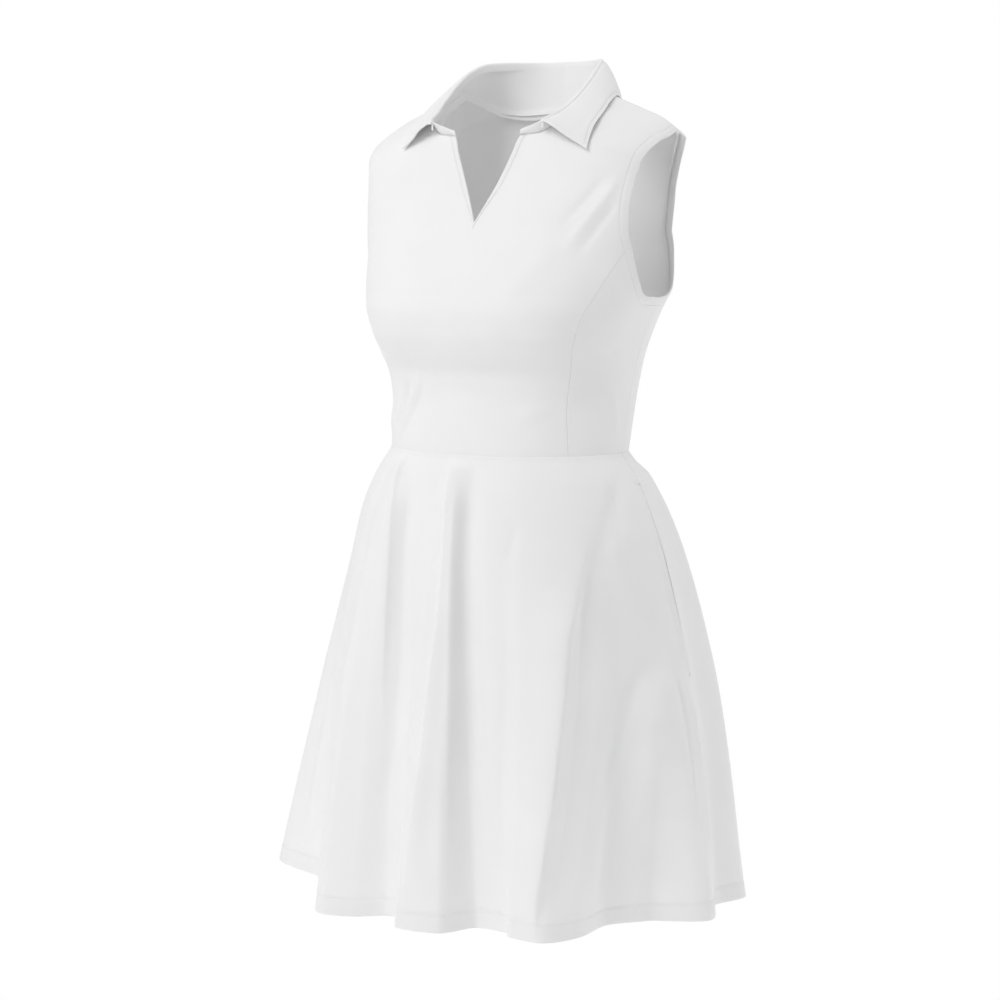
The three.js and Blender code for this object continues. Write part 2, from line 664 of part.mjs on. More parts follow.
const white = "#efeff0";
const dress = new THREE.Group();
dress.add(cloth("bodice_front", frontPanel(), white));
dress.add(cloth("bodice_side_left", sidePanel(1), white));
dress.add(cloth("bodice_side_right", sidePanel(-1), white));
dress.add(cloth("bodice_back", backPanel(), white));
dress.add(cloth("armhole_band_left", armholeBand(1), white));
dress.add(cloth("armhole_band_right", armholeBand(-1), white));
dress.add(cloth("v_binding", vBinding(), white));
dress.add(cloth("collar_stand", collarStand(), white));
dress.add(cloth("collar_leaf", collarLeaf(), white));
dress.add(cloth("skirt_front", skirtPanel(frontFolds), white));
dress.add(cloth("skirt_back", skirtPanel(backFolds), white));
dress.add(cloth("pocket_bag_left", pocketBag(1), white));
dress.add(cloth("pocket_bag_right", pocketBag(-1), white));

export default dress;
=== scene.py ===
from bisect import bisect_right
from functools import lru_cache
from math import asin, cos, degrees, exp, hypot, pi, radians, sin

import bmesh
import bpy
from mathutils import Matrix, Vector


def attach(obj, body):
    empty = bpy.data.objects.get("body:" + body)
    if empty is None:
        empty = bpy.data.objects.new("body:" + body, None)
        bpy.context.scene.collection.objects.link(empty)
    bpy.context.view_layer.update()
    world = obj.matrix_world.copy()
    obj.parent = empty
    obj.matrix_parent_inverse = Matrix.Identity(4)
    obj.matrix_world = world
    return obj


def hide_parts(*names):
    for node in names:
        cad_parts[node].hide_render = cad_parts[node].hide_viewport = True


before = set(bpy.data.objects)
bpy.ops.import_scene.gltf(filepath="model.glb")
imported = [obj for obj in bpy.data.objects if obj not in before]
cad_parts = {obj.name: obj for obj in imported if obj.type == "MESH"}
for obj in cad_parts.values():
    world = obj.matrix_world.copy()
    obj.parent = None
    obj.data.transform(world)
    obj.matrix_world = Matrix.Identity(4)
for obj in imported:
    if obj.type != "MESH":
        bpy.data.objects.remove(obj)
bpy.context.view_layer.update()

mm = 0.001
scene = bpy.context.scene
scene.view_settings.view_transform = "Standard"

# Sleeveless tennis dress, worn by nobody. Front faces -Y, the wearer's left is +X.
# Tables are in millimetres and degrees, with z = 0 between the shoulder seams.

camera = {
    "eye": (1.2230, -2.1807, -0.1240),
    "aim": (-0.0270, -0.0156, -0.4044),
    "lens": 86.5,
}
cameraData = bpy.data.cameras.new("camera")
cameraData.lens = camera["lens"]
cameraData.sensor_width = 36
cameraObject = bpy.data.objects.new("camera", cameraData)
cameraObject.location = camera["eye"]
look = Vector(camera["aim"]) - Vector(camera["eye"])
cameraObject.rotation_euler = look.to_track_quat("-Z", "Y").to_euler()
scene.collection.objects.link(cameraObject)
scene.camera = cameraObject


def linear(hexColour):
    channels = [int(hexColour[k:k + 2], 16) / 255 for k in (1, 3, 5)]
    return [c / 12.92 if c <= 0.04045 else ((c + 0.055) / 1.055) ** 2.4 for c in channels] + [1]


# adds a node with its settings; links is {input name: socket that feeds it}
def addNode(tree, kind, links=None, values=None, **settings):
    node = tree.nodes.new(kind)
    for name, value in settings.items():
        setattr(node, name, value)
    for name, value in (values or {}).items():
        node.inputs[name].default_value = value
    for name, socket in (links or {}).items():
        tree.links.new(socket, node.inputs[name])
    return node


# a material with these settings on its shader
def newMaterial(name, settings):
    material = bpy.data.materials.new(name)
    material.use_nodes = True
    for socket, value in settings.items():
        material.node_tree.nodes["Principled BSDF"].inputs[socket].default_value = value
    return material


studio = {
    "floorLevel": -1.35,
    "floorHalf": 1.15,  # it ends below the picture, so that the dress stands on white
    "dimSide": (0.8, -0.3, 0.6),  # the side of the room with the least light
    "bright": 0.71,
    "dim": 0.52,
    "floorGlow": 0.3,
}

world = bpy.data.worlds.new("studio surround")
scene.world = world
world.use_nodes = True
tree = world.node_tree
tree.nodes.clear()
where = addNode(tree, "ShaderNodeTexCoord")
facing = addNode(tree, "ShaderNodeVectorMath", {0: where.outputs["Generated"]},
                 {1: Vector(studio["dimSide"]).normalized()}, operation="DOT_PRODUCT")
shade = addNode(tree, "ShaderNodeMapRange", {"Value": facing.outputs["Value"]},
                {"From Min": -0.1, "From Max": 0.95, "To Min": studio["bright"], "To Max": studio["dim"]},
                interpolation_type="SMOOTHSTEP")
path = addNode(tree, "ShaderNodeLightPath")
seen = addNode(tree, "ShaderNodeMix", {"Factor": path.outputs["Is Camera Ray"], "A": shade.outputs["Result"]},
               {"B": 1.0}, data_type="FLOAT")
surround = addNode(tree, "ShaderNodeBackground", {"Strength": seen.outputs["Result"]},
                   {"Color": (1, 1, 1, 1)})
addNode(tree, "ShaderNodeOutputWorld", {"Surface": surround.outputs["Background"]})

dressMiddle = Vector((0, 0, -0.4))
lamps = [
    {"name": "key", "at": (-0.65, -2.7, 2.25), "size": 1.9, "power": 53},
    {"name": "rim", "at": (2.4, 1.9, 0.6), "size": 1.8, "power": 22},
]
for lamp in lamps:
    data = bpy.data.lights.new(lamp["name"], "AREA")
    data.energy = lamp["power"]
    data.size = lamp["size"]
    lampObject = bpy.data.objects.new(lamp["name"], data)
    lampObject.location = lamp["at"]
    toDress = dressMiddle - Vector(lamp["at"])
    lampObject.rotation_euler = toDress.to_track_quat("-Z", "Y").to_euler()
    scene.collection.objects.link(lampObject)

floorBm = bmesh.new()
bmesh.ops.create_grid(floorBm, x_segments=1, y_segments=1, size=studio["floorHalf"])
bmesh.ops.translate(floorBm, verts=floorBm.verts, vec=(0, 0, studio["floorLevel"]))
floorMesh = bpy.data.meshes.new("floor")
floorBm.to_mesh(floorMesh)
floorBm.free()
floor = bpy.data.objects.new("floor", floorMesh)
scene.collection.objects.link(floor)
floorMesh.materials.append(newMaterial("white studio paint", {
    "Base Color": linear("#fbfbfb"),
    "Roughness": 0.9,
    "Emission Color": (1, 1, 1, 1),
    "Emission Strength": studio["floorGlow"],
}))
print("camera, floor and light are set")

# Polyester and elastane jersey, weft knitted and bleached: matt, faintly velvety, with fine upright wales.
jersey = {
    "colour": "#f5f5f5",
    "shade": "#f0f0f0",
    "patch": 45,  # mm across the patches of either
    "wale": 1.1,  # mm, drawn coarser than the real 0.6 so that it shows
    "course": 0.9,
    "waleDepth": 0.05,
    "ripple": 26,  # mm across the faint unevenness of hanging cloth
    "rippleDepth": 0.35,
    "roughness": 0.82,
    "glow": 0.13,  # thin white cloth lets light through
    "glowReach": 1.5,
}


# Base colour that wavers between two whites, over "size" mm; gives back the object's own coordinates.
def tinted(tree, size, dark, bright):
    place = addNode(tree, "ShaderNodeTexCoord").outputs["Object"]
    noise = addNode(tree, "ShaderNodeTexNoise", {"Vector": place}, {"Scale": 1 / (size * mm), "Detail": 2.0})
    colour = addNode(tree, "ShaderNodeMix", {"Factor": noise.outputs["Fac"]},
                     {"A": linear(dark), "B": linear(bright)}, data_type="RGBA")
    tree.links.new(colour.outputs["Result"], tree.nodes["Principled BSDF"].inputs["Base Color"])
    return place


def jerseyMaterial():
    material = newMaterial("white polyester jersey", {
        "Roughness": jersey["roughness"],
        "IOR": 1.5,
        "Subsurface Weight": jersey["glow"],
        "Subsurface Radius": (1, 1, 1),
        "Subsurface Scale": jersey["glowReach"] * mm,
        "Sheen Weight": 0.2,
        "Sheen Roughness": 0.45,
    })
    tree = material.node_tree
    place = tinted(tree, jersey["patch"], jersey["shade"], jersey["colour"])
    cloth = addNode(tree, "ShaderNodeUVMap", uv_map="cloth")
    # a wave texture at scale 1 has its bands 0.314 units apart
    bands = 0.314 / mm
    wales, courses = [addNode(tree, "ShaderNodeTexWave", {"Vector": cloth.outputs["UV"]},
                              {"Scale": bands / jersey[size], "Distortion": 0.4, "Detail": 0.0},
                              wave_type="BANDS", bands_direction=axis)
                      for size, axis in (("wale", "X"), ("course", "Y"))]
    knit = addNode(tree, "ShaderNodeMath", {0: wales.outputs["Fac"], 1: courses.outputs["Fac"]},
                   operation="MULTIPLY")
    knitBump = addNode(tree, "ShaderNodeBump", {"Height": knit.outputs["Value"]},
                       {"Strength": 0.6, "Distance": jersey["waleDepth"] * mm})
    uneven = addNode(tree, "ShaderNodeTexNoise", {"Vector": place},
                     {"Scale": 1 / (jersey["ripple"] * mm), "Detail": 1.0, "Roughness": 0.4})
    bump = addNode(tree, "ShaderNodeBump",
                   {"Height": uneven.outputs["Fac"], "Normal": knitBump.outputs["Normal"]},
                   {"Strength": 0.7, "Distance": jersey["rippleDepth"] * mm})
    tree.links.new(bump.outputs["Normal"], tree.nodes["Principled BSDF"].inputs["Normal"])
    return material


whiteJersey = jerseyMaterial()
# Spun polyester sewing thread, dyed to match: a little brighter and shinier than the knit.
whiteThread = newMaterial("white polyester thread", {"Roughness": 0.55, "Sheen Weight": 0.1})
tinted(whiteThread.node_tree, 0.5, "#f3f3f3", "#fafafa")


# A smooth curve through the rows of a table that never swings past them.
def curveThrough(places, values):
    last = len(places) - 1
    slopes = [(values[k + 1] - values[k]) / (places[k + 1] - places[k]) for k in range(last)]
    lean = [slopes[0]] + [0.0] * (last - 1) + [slopes[-1]]
    for k in range(1, last):
        before, after = slopes[k - 1], slopes[k]
        if before * after > 0:
            lean[k] = 2 * before * after / (before + after)

    def at(place):
        if place <= places[0]:
            return values[0]
        if place >= places[last]:
            return values[last]
        k = bisect_right(places, place) - 1
        span = places[k + 1] - places[k]
        t = (place - places[k]) / span
        return (values[k] * (1 + 2 * t) * (1 - t) ** 2 + values[k + 1] * t * t * (3 - 2 * t)
                + span * t * (1 - t) * (lean[k] * (1 - t) - lean[k + 1] * t))
    return at


# columns of a table as curves over its first column
def curvesOf(table):
    key = next(iter(table))
    return {name: curveThrough(table[key], table[name]) for name in table if name != key}


def clamp(value, low, high):
    return max(low, min(high, value))


def smooth(value, low, high):
    t = clamp((value - low) / (high - low), 0, 1)
    return t * t * (3 - 2 * t)


def mix(a, b, share):
    return a + (b - a) * share


def power(value, exponent):
    return abs(value) ** exponent * (1 if value > 0 else -1)


# distances along a line of points, from its first
def runOf(points):
    run = [0.0]
    for a, b in zip(points, points[1:]):
        run.append(run[-1] + (b - a).length)
    return run


# the same place on the wearer's left (1) or right (-1)
def mirrored(v, side):
    return Vector((v.x * side, v.y, v.z))


weld = 0.02 * mm  # points closer than this become one


# A sheet of cloth from rows of points in mm, with its measure across and down kept as its UV map.
def clothSheet(name, rows, measure, wall=0.8, rim=0.0):
    bm = bmesh.new()
    last = len(rows) - 1
    across = len(rows[0]) - 1
    bmesh.ops.create_grid(bm, x_segments=across, y_segments=last, size=1)
    uv = bm.loops.layers.uv.new("cloth")
    bm.verts.index_update()
    spots = {}
    for vertex in bm.verts:
        spots[vertex.index] = (round((vertex.co.y + 1) / 2 * last), round((vertex.co.x + 1) / 2 * across))
    for face in bm.faces:
        for loop in face.loops:
            row, column = spots[loop.vert.index]
            u, v = measure(row, column)
            loop[uv].uv = (u * mm, v * mm)
    for vertex in bm.verts:
        row, column = spots[vertex.index]
        vertex.co = rows[row][column] * mm
    bmesh.ops.remove_doubles(bm, verts=bm.verts, dist=weld)
    return bm, name, wall, rim


def facingOut(bm, middle=None):
    bmesh.ops.recalc_face_normals(bm, faces=bm.faces)
    total = 0
    for face in bm.faces:
        centre = face.calc_center_median()
        away = centre - (Vector((0, -0.02, centre.z)) if middle is None else middle)
        total += face.normal.dot(away) * face.calc_area()
    if total < 0:
        bmesh.ops.reverse_faces(bm, faces=bm.faces)


def newPiece(name, bm, material):
    mesh = bpy.data.meshes.new(name)
    bm.to_mesh(mesh)
    bm.free()
    mesh.shade_smooth()
    mesh.materials.append(material)
    piece = bpy.data.objects.new(name, mesh)
    scene.collection.objects.link(piece)
    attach(piece, "root")
    print(name, len(mesh.polygons), "faces")
    return piece


# Gives a sheet its wall and material, and hides the imported part of that node.
def finishSheet(made, node, middle=None):
    bm, name, wall, rim = made
    facingOut(bm, middle)
    piece = newPiece(name, bm, whiteJersey)
    thick = piece.modifiers.new("wall", "SOLIDIFY")
    thick.thickness = wall * mm
    thick.offset = -1
    if rim:
        soft = piece.modifiers.new("soft edge", "BEVEL")
        soft.width = rim * mm
        soft.segments = 2
        soft.limit_method = "ANGLE"
        soft.angle_limit = radians(50)
    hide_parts(node)


# joins two halves of a sheet along the middle
def joined(first, second):
    bm, name, wall, rim = first
    other = second[0]
    mesh = bpy.data.meshes.new("half")
    other.to_mesh(mesh)
    other.free()
    bm.from_mesh(mesh)
    bpy.data.meshes.remove(mesh)
    bmesh.ops.remove_doubles(bm, verts=bm.verts, dist=weld)
    return bm, name, wall, rim


# Small rounded stitches along a line of (point, outward) in mm, merged into one piece.
def stitchLine(name, lines, length=2.6, pitch=3.4, width=0.42, lift=0.12):
    bm = bmesh.new()
    for line in lines:
        run = 0.0
        target = pitch / 2
        for (a, outA), (b, outB) in zip(line, line[1:]):
            step = (b - a).length
            while step > 0 and target <= run + step:
                share = (target - run) / step
                place = a.lerp(b, share)
                along = (b - a).normalized()
                out = outA.lerp(outB, share)
                out = (out - along * out.dot(along)).normalized()
                side = out.cross(along)
                matrix = matrixOf(along * length / 2, side * width / 2, out * width / 3, place + out * lift)
                bmesh.ops.create_icosphere(bm, subdivisions=1, radius=1, matrix=matrix)
                target += pitch
            run += step
    newPiece(name, bm, whiteThread)


def matrixOf(x, y, z, place):
    matrix = Matrix.Identity(4)
    for column, vector in enumerate((x, y, z, place)):
        for row in range(3):
            matrix[row][column] = vector[row] * mm
    return matrix


# How the cloth turns in at a seam: mm from the seam line, and mm below the surface.
seamRoll = [(0.02, 5.0), (0.02, 0.22), (0.08, 0.06), (0.3, 0.01), (0.8, 0.0)]
# at the waist the seam allowance makes a fine ridge at the skirt's top
waistRoll = [(-0.25, 4.0), (-0.25, 0.0), (-0.2, -0.16), (0.1, -0.32), (0.8, -0.36), (1.6, -0.2), (2.4, 0.0)]
princessRoll = [(0.02, 5.0), (0.02, 0.5), (0.1, 0.16), (0.4, -0.06), (1.1, -0.1)]


# two turned edges that meet at one place; a ridge adds to them
def turnedIn(a, b):
    return a + b if min(a, b) < 0 else max(a, b)


# Places along a length, closer at the seams, each with how deep it is turned in.
def rolledPlaces(length, count, start=seamRoll, end=seamRoll):
    room = length / 3
    first = [(min(at, room), deep) for at, deep in start]
    lastOnes = [(length - min(at, room), deep) for at, deep in reversed(end)]
    low, high = first[-1][0], lastOnes[0][0]
    return first + [(mix(low, high, k / count), 0.0) for k in range(1, count)] + lastOnes


# The bodice is one shape, cut into panels along its seams. The shoulders fall away from the neck: they are
# rounded in the middle and bend down past "bendFrom".
shoulder = {"neckX": 80, "endX": 161, "slope": 0.42, "rounding": 25, "bendFrom": 145, "bend": 0.03}


def slopeFall(x):
    past = max(0, abs(x) - shoulder["bendFrom"])
    return hypot(x, shoulder["rounding"]) - shoulder["rounding"] + shoulder["bend"] * past ** 2


shoulderLevel = shoulder["slope"] * (slopeFall(shoulder["neckX"]) + slopeFall(shoulder["endX"])) / 2
waistLevel = -346
vDepthLevel = -116
vCornerLevel = -26
underarmLevel = -199
princessTopLevel = -142
sideSeamTurn = 93

# Sizes in mm from the waist up; "full" is how square a section is (2 is an ellipse), "side" is how far
# back its widest place lies, and "slope" how much of the shoulders' fall it has.
bodiceShape = {
    "level": [-346, -294, -270, -245, -226, -206, -184, -144, -116, -73, -26, 12, 31, shoulderLevel],
    "halfWidth": [127, 130, 133, 138, 143, 149, 156, 163, 170, 177, 180, 182, 183, 184],
    "front": [138, 132, 134, 146, 154, 157, 150, 130, 114, 98, 87, 54, 24, 0],
    "back": [50, 62, 67, 71, 75, 80, 84, 84, 82, 80, 75, 62, 33, 0],
    "side": [-44, -34, -31, -30, -28, -24, -18, -12, -8, -4, 0, 0, 0, 0],
    "frontFull": [2.15, 2.2, 2.3, 2.5, 2.65, 2.7, 2.65, 2.65, 2.75, 3, 3, 2.8, 2.6, 2.4],
    "backFull": [2.2, 2.2, 2.2, 2.25, 2.35, 2.45, 2.6, 2.7, 2.8, 2.9, 2.9, 2.7, 2.5, 2.4],
    "slope": [0, 0, 0, 0, 0, 0, 0.01, 0.03, 0.06, 0.12, 0.2, 0.31, 0.38, 0.42],
}
# Seams of the panels: degrees round from centre front at each level.
armholeSeam = {
    "level": [-199, -197, -190, -178, -161, -142, -116, -73, -26, 12, 31, shoulderLevel],
    "front": [93, 86, 80, 75, 69, 62.5, 53.5, 48, 50.5, 55, 58, 59],
    "back": [93, 101, 109, 119, 126, 132, 140, 142, 138, 130, 123, 121],
}
princessSeam = {"level": [-346, -291, -244, -206, -171, -142], "turn": [52, 48, 49, 52, 56.5, 62]}
frontNeck = {
    "level": [-116, -73, -44, -26, -19, -11, 12, shoulderLevel],
    "x": [0, 19.5, 31, 37.5, 57, 66, 76, 80],
}
backNeck = {"level": [0, 3, 10, 22, shoulderLevel], "x": [0, 30, 52, 70, 80]}

bodiceCurves = curvesOf(bodiceShape)
armholeCurves = curvesOf(armholeSeam)
princessTurn = curvesOf(princessSeam)["turn"]
frontNeckX = curvesOf(frontNeck)["x"]
backNeckX = curvesOf(backNeck)["x"]

# Drag lines and soft troughs: from and to (degrees, level), then mm wide, high and bowed aside.
bodiceCreases = [
    ((-46, -340), (-18, -258), 6, 3.2, 4),
    ((-53, -338), (-28, -266), 6, -3.0, 3),
    ((-64, -336), (-44, -272), 6, 2.6, 3),
    ((-44, -250), (-58, -232), 6, -1.4, 0),
    ((-40, -262), (-56, -246), 6, 1.1, 0),
    ((31, -152), (47, -44), 8, 2.0, -4),
    ((38, -158), (50, -70), 7, -1.6, -4),
    ((25, -126), (40, -48), 8, -1.4, -3),
    ((70, -196), (52, -150), 9, 1.0, 0),
    ((30, -128), (10, -205), 16, 1.0, 0),
    ((-24, -130), (-10, -200), 18, 0.9, 0),
    ((-16, -282), (14, -288), 14, -0.9, 0),
    ((20, -310), (44, -296), 12, 0.9, 0),
    ((86, -330), (76, -280), 8, 1.2, 0),
    ((80, -250), (60, -236), 7, -0.9, 0),
    ((150, -330), (128, -268), 10, 2.0, 4),
    ((140, -342), (118, -290), 9, -1.8, 4),
    ((210, -334), (236, -270), 10, 1.9, -4),
    ((222, -342), (246, -292), 9, -1.7, -4),
    ((168, -318), (194, -312), 9, -1.8, 0),
    ((164, -298), (200, -304), 10, 1.6, 0),
    ((130, -190), (150, -120), 10, 1.3, 0),
    ((232, -186), (212, -118), 11, 1.4, 0),
    ((176, -40), (182, -170), 20, -1.0, 0),
]
bodicePerDegree = 2.5
creasesGrow = {"shoulder": (6, 30), "armhole": (1, 13)}  # over these mm from the shoulder and armhole seams


def bodiceLift(turn, level):
    lift = 0
    for start, end, wide, high, bow in bodiceCreases:
        dx, dy = (end[0] - start[0]) * bodicePerDegree, end[1] - start[1]
        length = hypot(dx, dy)
        px, py = (turn - start[0]) * bodicePerDegree, level - start[1]
        along = (px * dx + py * dy) / length
        if along < 0 or along > length:
            continue
        aside = ((px * dy - py * dx) / length - bow * sin(pi * along / length)) / wide
        if abs(aside) <= 2.2:
            ends = smooth(along, 0, length * 0.35) * (1 - smooth(along, length * 0.65, length))
            lift += high * ends * exp(-2 * aside * aside)
    return lift


@lru_cache(maxsize=20000)
def bodiceSection(level):
    return {name: curve(level) for name, curve in bodiceCurves.items()}


def sectionPoint(section, turn):
    across, along = sin(radians(turn)), cos(radians(turn))
    full = section["frontFull"] if along > 0 else section["backFull"]
    reach = section["front"] + section["side"] if along > 0 else section["back"] - section["side"]
    return (section["halfWidth"] * power(across, 2 / full), section["side"] - reach * power(along, 2 / full))


def bodicePoint(level, turn):
    section = bodiceSection(level)
    x, y = sectionPoint(section, turn)
    return Vector((x, y, level - section["slope"] * slopeFall(x)))


def bodiceOutward(level, turn):
    inside = clamp(level, waistLevel + 1, shoulderLevel - 1)
    around = bodicePoint(inside, turn + 0.4) - bodicePoint(inside, turn - 0.4)
    upward = bodicePoint(inside + 0.8, turn) - bodicePoint(inside - 0.8, turn)
    out = around.cross(upward).normalized()
    if out.dot(Vector((sin(radians(turn)), -cos(radians(turn)), 0.6))) < 0:
        out.negate()
    out.y *= smooth(shoulderLevel - level, 0, 14)
    return out.normalized()


def turnAcross(level, x, front):
    section = bodiceSection(level)
    full = section["frontFull"] if front else section["backFull"]
    turn = degrees(asin(min(1, abs(x) / section["halfWidth"]) ** (full / 2)))
    return turn if front else 180 - turn


# one vertex of the bodice, with its creases, turned in by "deep"
def bodiceVertex(level, turn, deep, side):
    point = bodicePoint(level, turn)
    calm = smooth(shoulderLevel - level, *creasesGrow["shoulder"])
    if level > underarmLevel:
        edge = armholeCurves["front" if turn < sideSeamTurn else "back"](level)
        calm *= smooth(abs(turn - edge) * bodicePerDegree, *creasesGrow["armhole"])
    around = turn if side > 0 else -turn if turn < 95 else 360 - turn
    lift = bodiceLift(around, level)
    if deep or lift:
        point += bodiceOutward(level, turn) * (lift * calm - deep)
    return mirrored(point, side)


# Turns on one row of the bodice at the given distances from its first edge.
def turnsAlong(level, first, last, count, start, end):
    steps = 60
    fine = [mix(first, last, k / steps) for k in range(steps + 1)]
    run = runOf([bodicePoint(level, turn) for turn in fine])
    turns = []
    for at, deep in rolledPlaces(run[-1], count, start, end):
        k = clamp(bisect_right(run, at) - 1, 0, steps - 1)
        span = run[k + 1] - run[k]
        share = (at - run[k]) / span if span > 1e-9 else 0
        turns.append((mix(fine[k], fine[k + 1], share), deep, at))
    return turns


# Rows of levels from the waist to a seam, closer at both and just above the underarm, where the
# armhole seam runs almost level.
def levelRows(high, step):
    length = high - waistLevel
    rows = [(waistLevel + at, deep) for at, deep in rolledPlaces(length, round(length / step))]
    close = [(underarmLevel + above, 0.0) for above in (0.0, 0.12, 0.4, 0.9, 1.6)]
    return sorted(rows + close, key=lambda row: row[0])


# One side of the bodice's front or back, or a side panel. Below "closed" the centre of the front and
# back is plain cloth and isn't turned in; it keeps its columns, so that all rows have the same.
def bodicePanel(name, panel, edges, side):
    points, lengths = [], []
    rows = levelRows(panel["top"], panel["step"])
    for level, deepRow in rows:
        outer = princessRoll if panel["isFront"] and level < princessTopLevel else seamRoll
        turns = turnsAlong(level, *edges(level), panel["count"], panel["inner"], outer)
        line = []
        for k, (turn, deep, at) in enumerate(turns):
            if level <= panel["closed"] and k < len(seamRoll):
                turn, deep = (panel["middle"] if k < len(seamRoll) - 1 else turn), 0.0
            line.append(bodiceVertex(level, turn, turnedIn(deep, deepRow), side))
        points.append(line)
        lengths.append([at * side for turn, deep, at in turns])
    return clothSheet(name, points, lambda row, column: (lengths[row][column], rows[row][0]))


binding = {"width": 6, "pointWidth": 2.4, "pointDrop": 5.5, "rows": 44, "rowPitch": 2.2}
bindingLevel = vDepthLevel - binding["pointDrop"]


def bindingAcross(level):
    return mix(binding["pointWidth"], binding["width"], smooth(level, vDepthLevel, vDepthLevel + 40))


def panelNeckX(level):
    if level < vDepthLevel:
        return binding["pointWidth"] * (level - bindingLevel) / binding["pointDrop"]
    fade = clamp((level - vCornerLevel) / 12, 0, 1)
    return frontNeckX(level) + bindingAcross(level) * (1 - fade)


frontPanel = {"isFront": True, "top": shoulderLevel, "inner": seamRoll, "closed": bindingLevel, "middle": 0.0,
              "count": 44, "step": 2.6}


def frontEdges(level):
    inner = 0.0 if level <= bindingLevel else turnAcross(level, panelNeckX(level), True)
    outer = princessTurn(level) if level <= princessTopLevel else armholeCurves["front"](level)
    return inner, outer


frontHalves = [bodicePanel("front_cloth", frontPanel, frontEdges, side) for side in (1, -1)]
finishSheet(joined(*frontHalves), "bodice_front")

sidePanel = {"isFront": False, "top": princessTopLevel, "inner": princessRoll, "closed": waistLevel - 1,
             "count": 30, "step": 2.6}


def sideEdges(level):
    return princessTurn(level), sideSeamTurn if level <= underarmLevel else armholeCurves["front"](level)


for side, word in ((1, "left"), (-1, "right")):
    made = bodicePanel("side_cloth_" + word, sidePanel, sideEdges, side)
    finishSheet(made, "bodice_side_" + word)

backPanel = {"isFront": False, "top": shoulderLevel, "inner": seamRoll, "closed": 0, "middle": 180.0,
             "count": 56, "step": 2.7}


def backEdges(level):
    outer = sideSeamTurn if level <= underarmLevel else armholeCurves["back"](level)
    inner = 180.0 if level <= 0 else turnAcross(level, backNeckX(level), False)
    return inner, outer


backHalves = [bodicePanel("back_cloth", backPanel, backEdges, side) for side in (1, -1)]
finishSheet(joined(*backHalves), "bodice_back")
print("bodice is made")

band = {
    "stations": 230,
    "shoulderFrom": -34,  # above this level it bends outwards and grows narrower
    "shoulderBend": 0.35,
    "shoulderNarrower": 0.4,
    # reach into the opening and height over the body, from the seam over the edge and back inside
    "profile": [(0.04, -2.6), (0.04, -0.4), (0.13, -0.1), (0.4, 0.02), (1.4, 0.15), (4.8, 0.5), (6.2, 0.25),
                (6.8, 0.25), (7.6, 0.42), (8.4, 0.35), (8.95, 0.0), (9.1, -0.7), (8.8, -1.3), (8.0, -1.6),
                (5.0, -1.8), (1.0, -2.0)],
    "stitchReach": 6.5,
}


def armholeStations(count):
    fine = 240
    levels = [mix(underarmLevel, shoulderLevel, (1 - cos(pi * k / fine)) / 2) for k in range(fine + 1)]
    spots = [(level, armholeCurves["back"](level)) for level in levels]
    spots += [(level, armholeCurves["front"](level)) for level in levels[-2:0:-1]] + spots[:1]
    points = [bodicePoint(level, turn) for level, turn in spots]
    run = runOf(points)
    stations = []
    for k in range(count):
        at = run[-1] * k / count
        i = clamp(bisect_right(run, at) - 1, 0, len(points) - 2)
        share = (at - run[i]) / max(run[i + 1] - run[i], 1e-9)
        level = mix(spots[i][0], spots[i + 1][0], share)
        turn = mix(spots[i][1], spots[i + 1][1], share)
        stations.append((points[i].lerp(points[i + 1], share), bodiceOutward(level, turn)))
    return stations, run[-1]


def bandRows(side, profile):
    stations, length = armholeStations(band["stations"])
    count = len(stations)
    outwards = []
    for point, out in stations:
        bend = band["shoulderBend"] * smooth(point.z, band["shoulderFrom"], 0)
        outwards.append((out + Vector((bend, 0, 0))).normalized())
    for turnOver in range(4):  # evens out the outward directions round the shoulder and underarm
        evened = [outwards[k - 1] + outwards[k] * 2 + outwards[(k + 1) % count] for k in range(count)]
        outwards = [out.normalized() for out in evened]
    rows = []
    for k in range(count + 1):
        here = k % count
        point = stations[here][0]
        along = stations[(here + 2) % count][0] - stations[(here - 2) % count][0]
        out = outwards[here]
        narrower = band["shoulderNarrower"] * smooth(point.z, band["shoulderFrom"], 0)
        inward = out.cross(along).normalized() * (1 - narrower)
        rows.append([mirrored(point + inward * reach + out * height, side) for reach, height in profile])
    return rows, length, outwards


armStitches = []
for side, word in ((1, "left"), (-1, "right")):
    rows, length, outwards = bandRows(side, band["profile"])
    made = clothSheet("armhole_cloth_" + word, rows,
                      lambda row, column: (row * length / band["stations"], band["profile"][column][0]),
                      wall=0.45)
    finishSheet(made, "armhole_band_" + word,
                middle=Vector((side * 0.155, 0, -0.08)))
    stitchRows = bandRows(side, [(band["stitchReach"], 0.22)])[0]
    armStitches.append([(row[0], mirrored(outwards[k % len(outwards)], side))
                        for k, row in enumerate(stitchRows)])
stitchLine("armhole_stitches", armStitches)
print("armhole bands are made")

# "growth" is how the folds open towards the hem, and "seamGap" is half the gap at the side seams
skirt = {
    "length": 466,
    "axisY": -20,
    "growth": 1.15,
    "seamGap": 0.15,
    "stitchRow": 448,
    "rowsApart": 2.2,
    "turnedTo": 447.5,
}
skirtShape = {
    "drop": [0, 28, 60, 110, 210, 320, 466],
    "halfWidth": [127, 146, 161, 178, 201, 221, 240],
    "front": [138, 151, 161, 171, 185, 199, 214],
    "back": [50, 66, 84, 108, 140, 162, 184],
    "side": [-44, -41, -38, -33, -25, -20, -18],
    "full": [2.15, 2.15, 2.15, 2.1, 2.1, 2, 2],
}
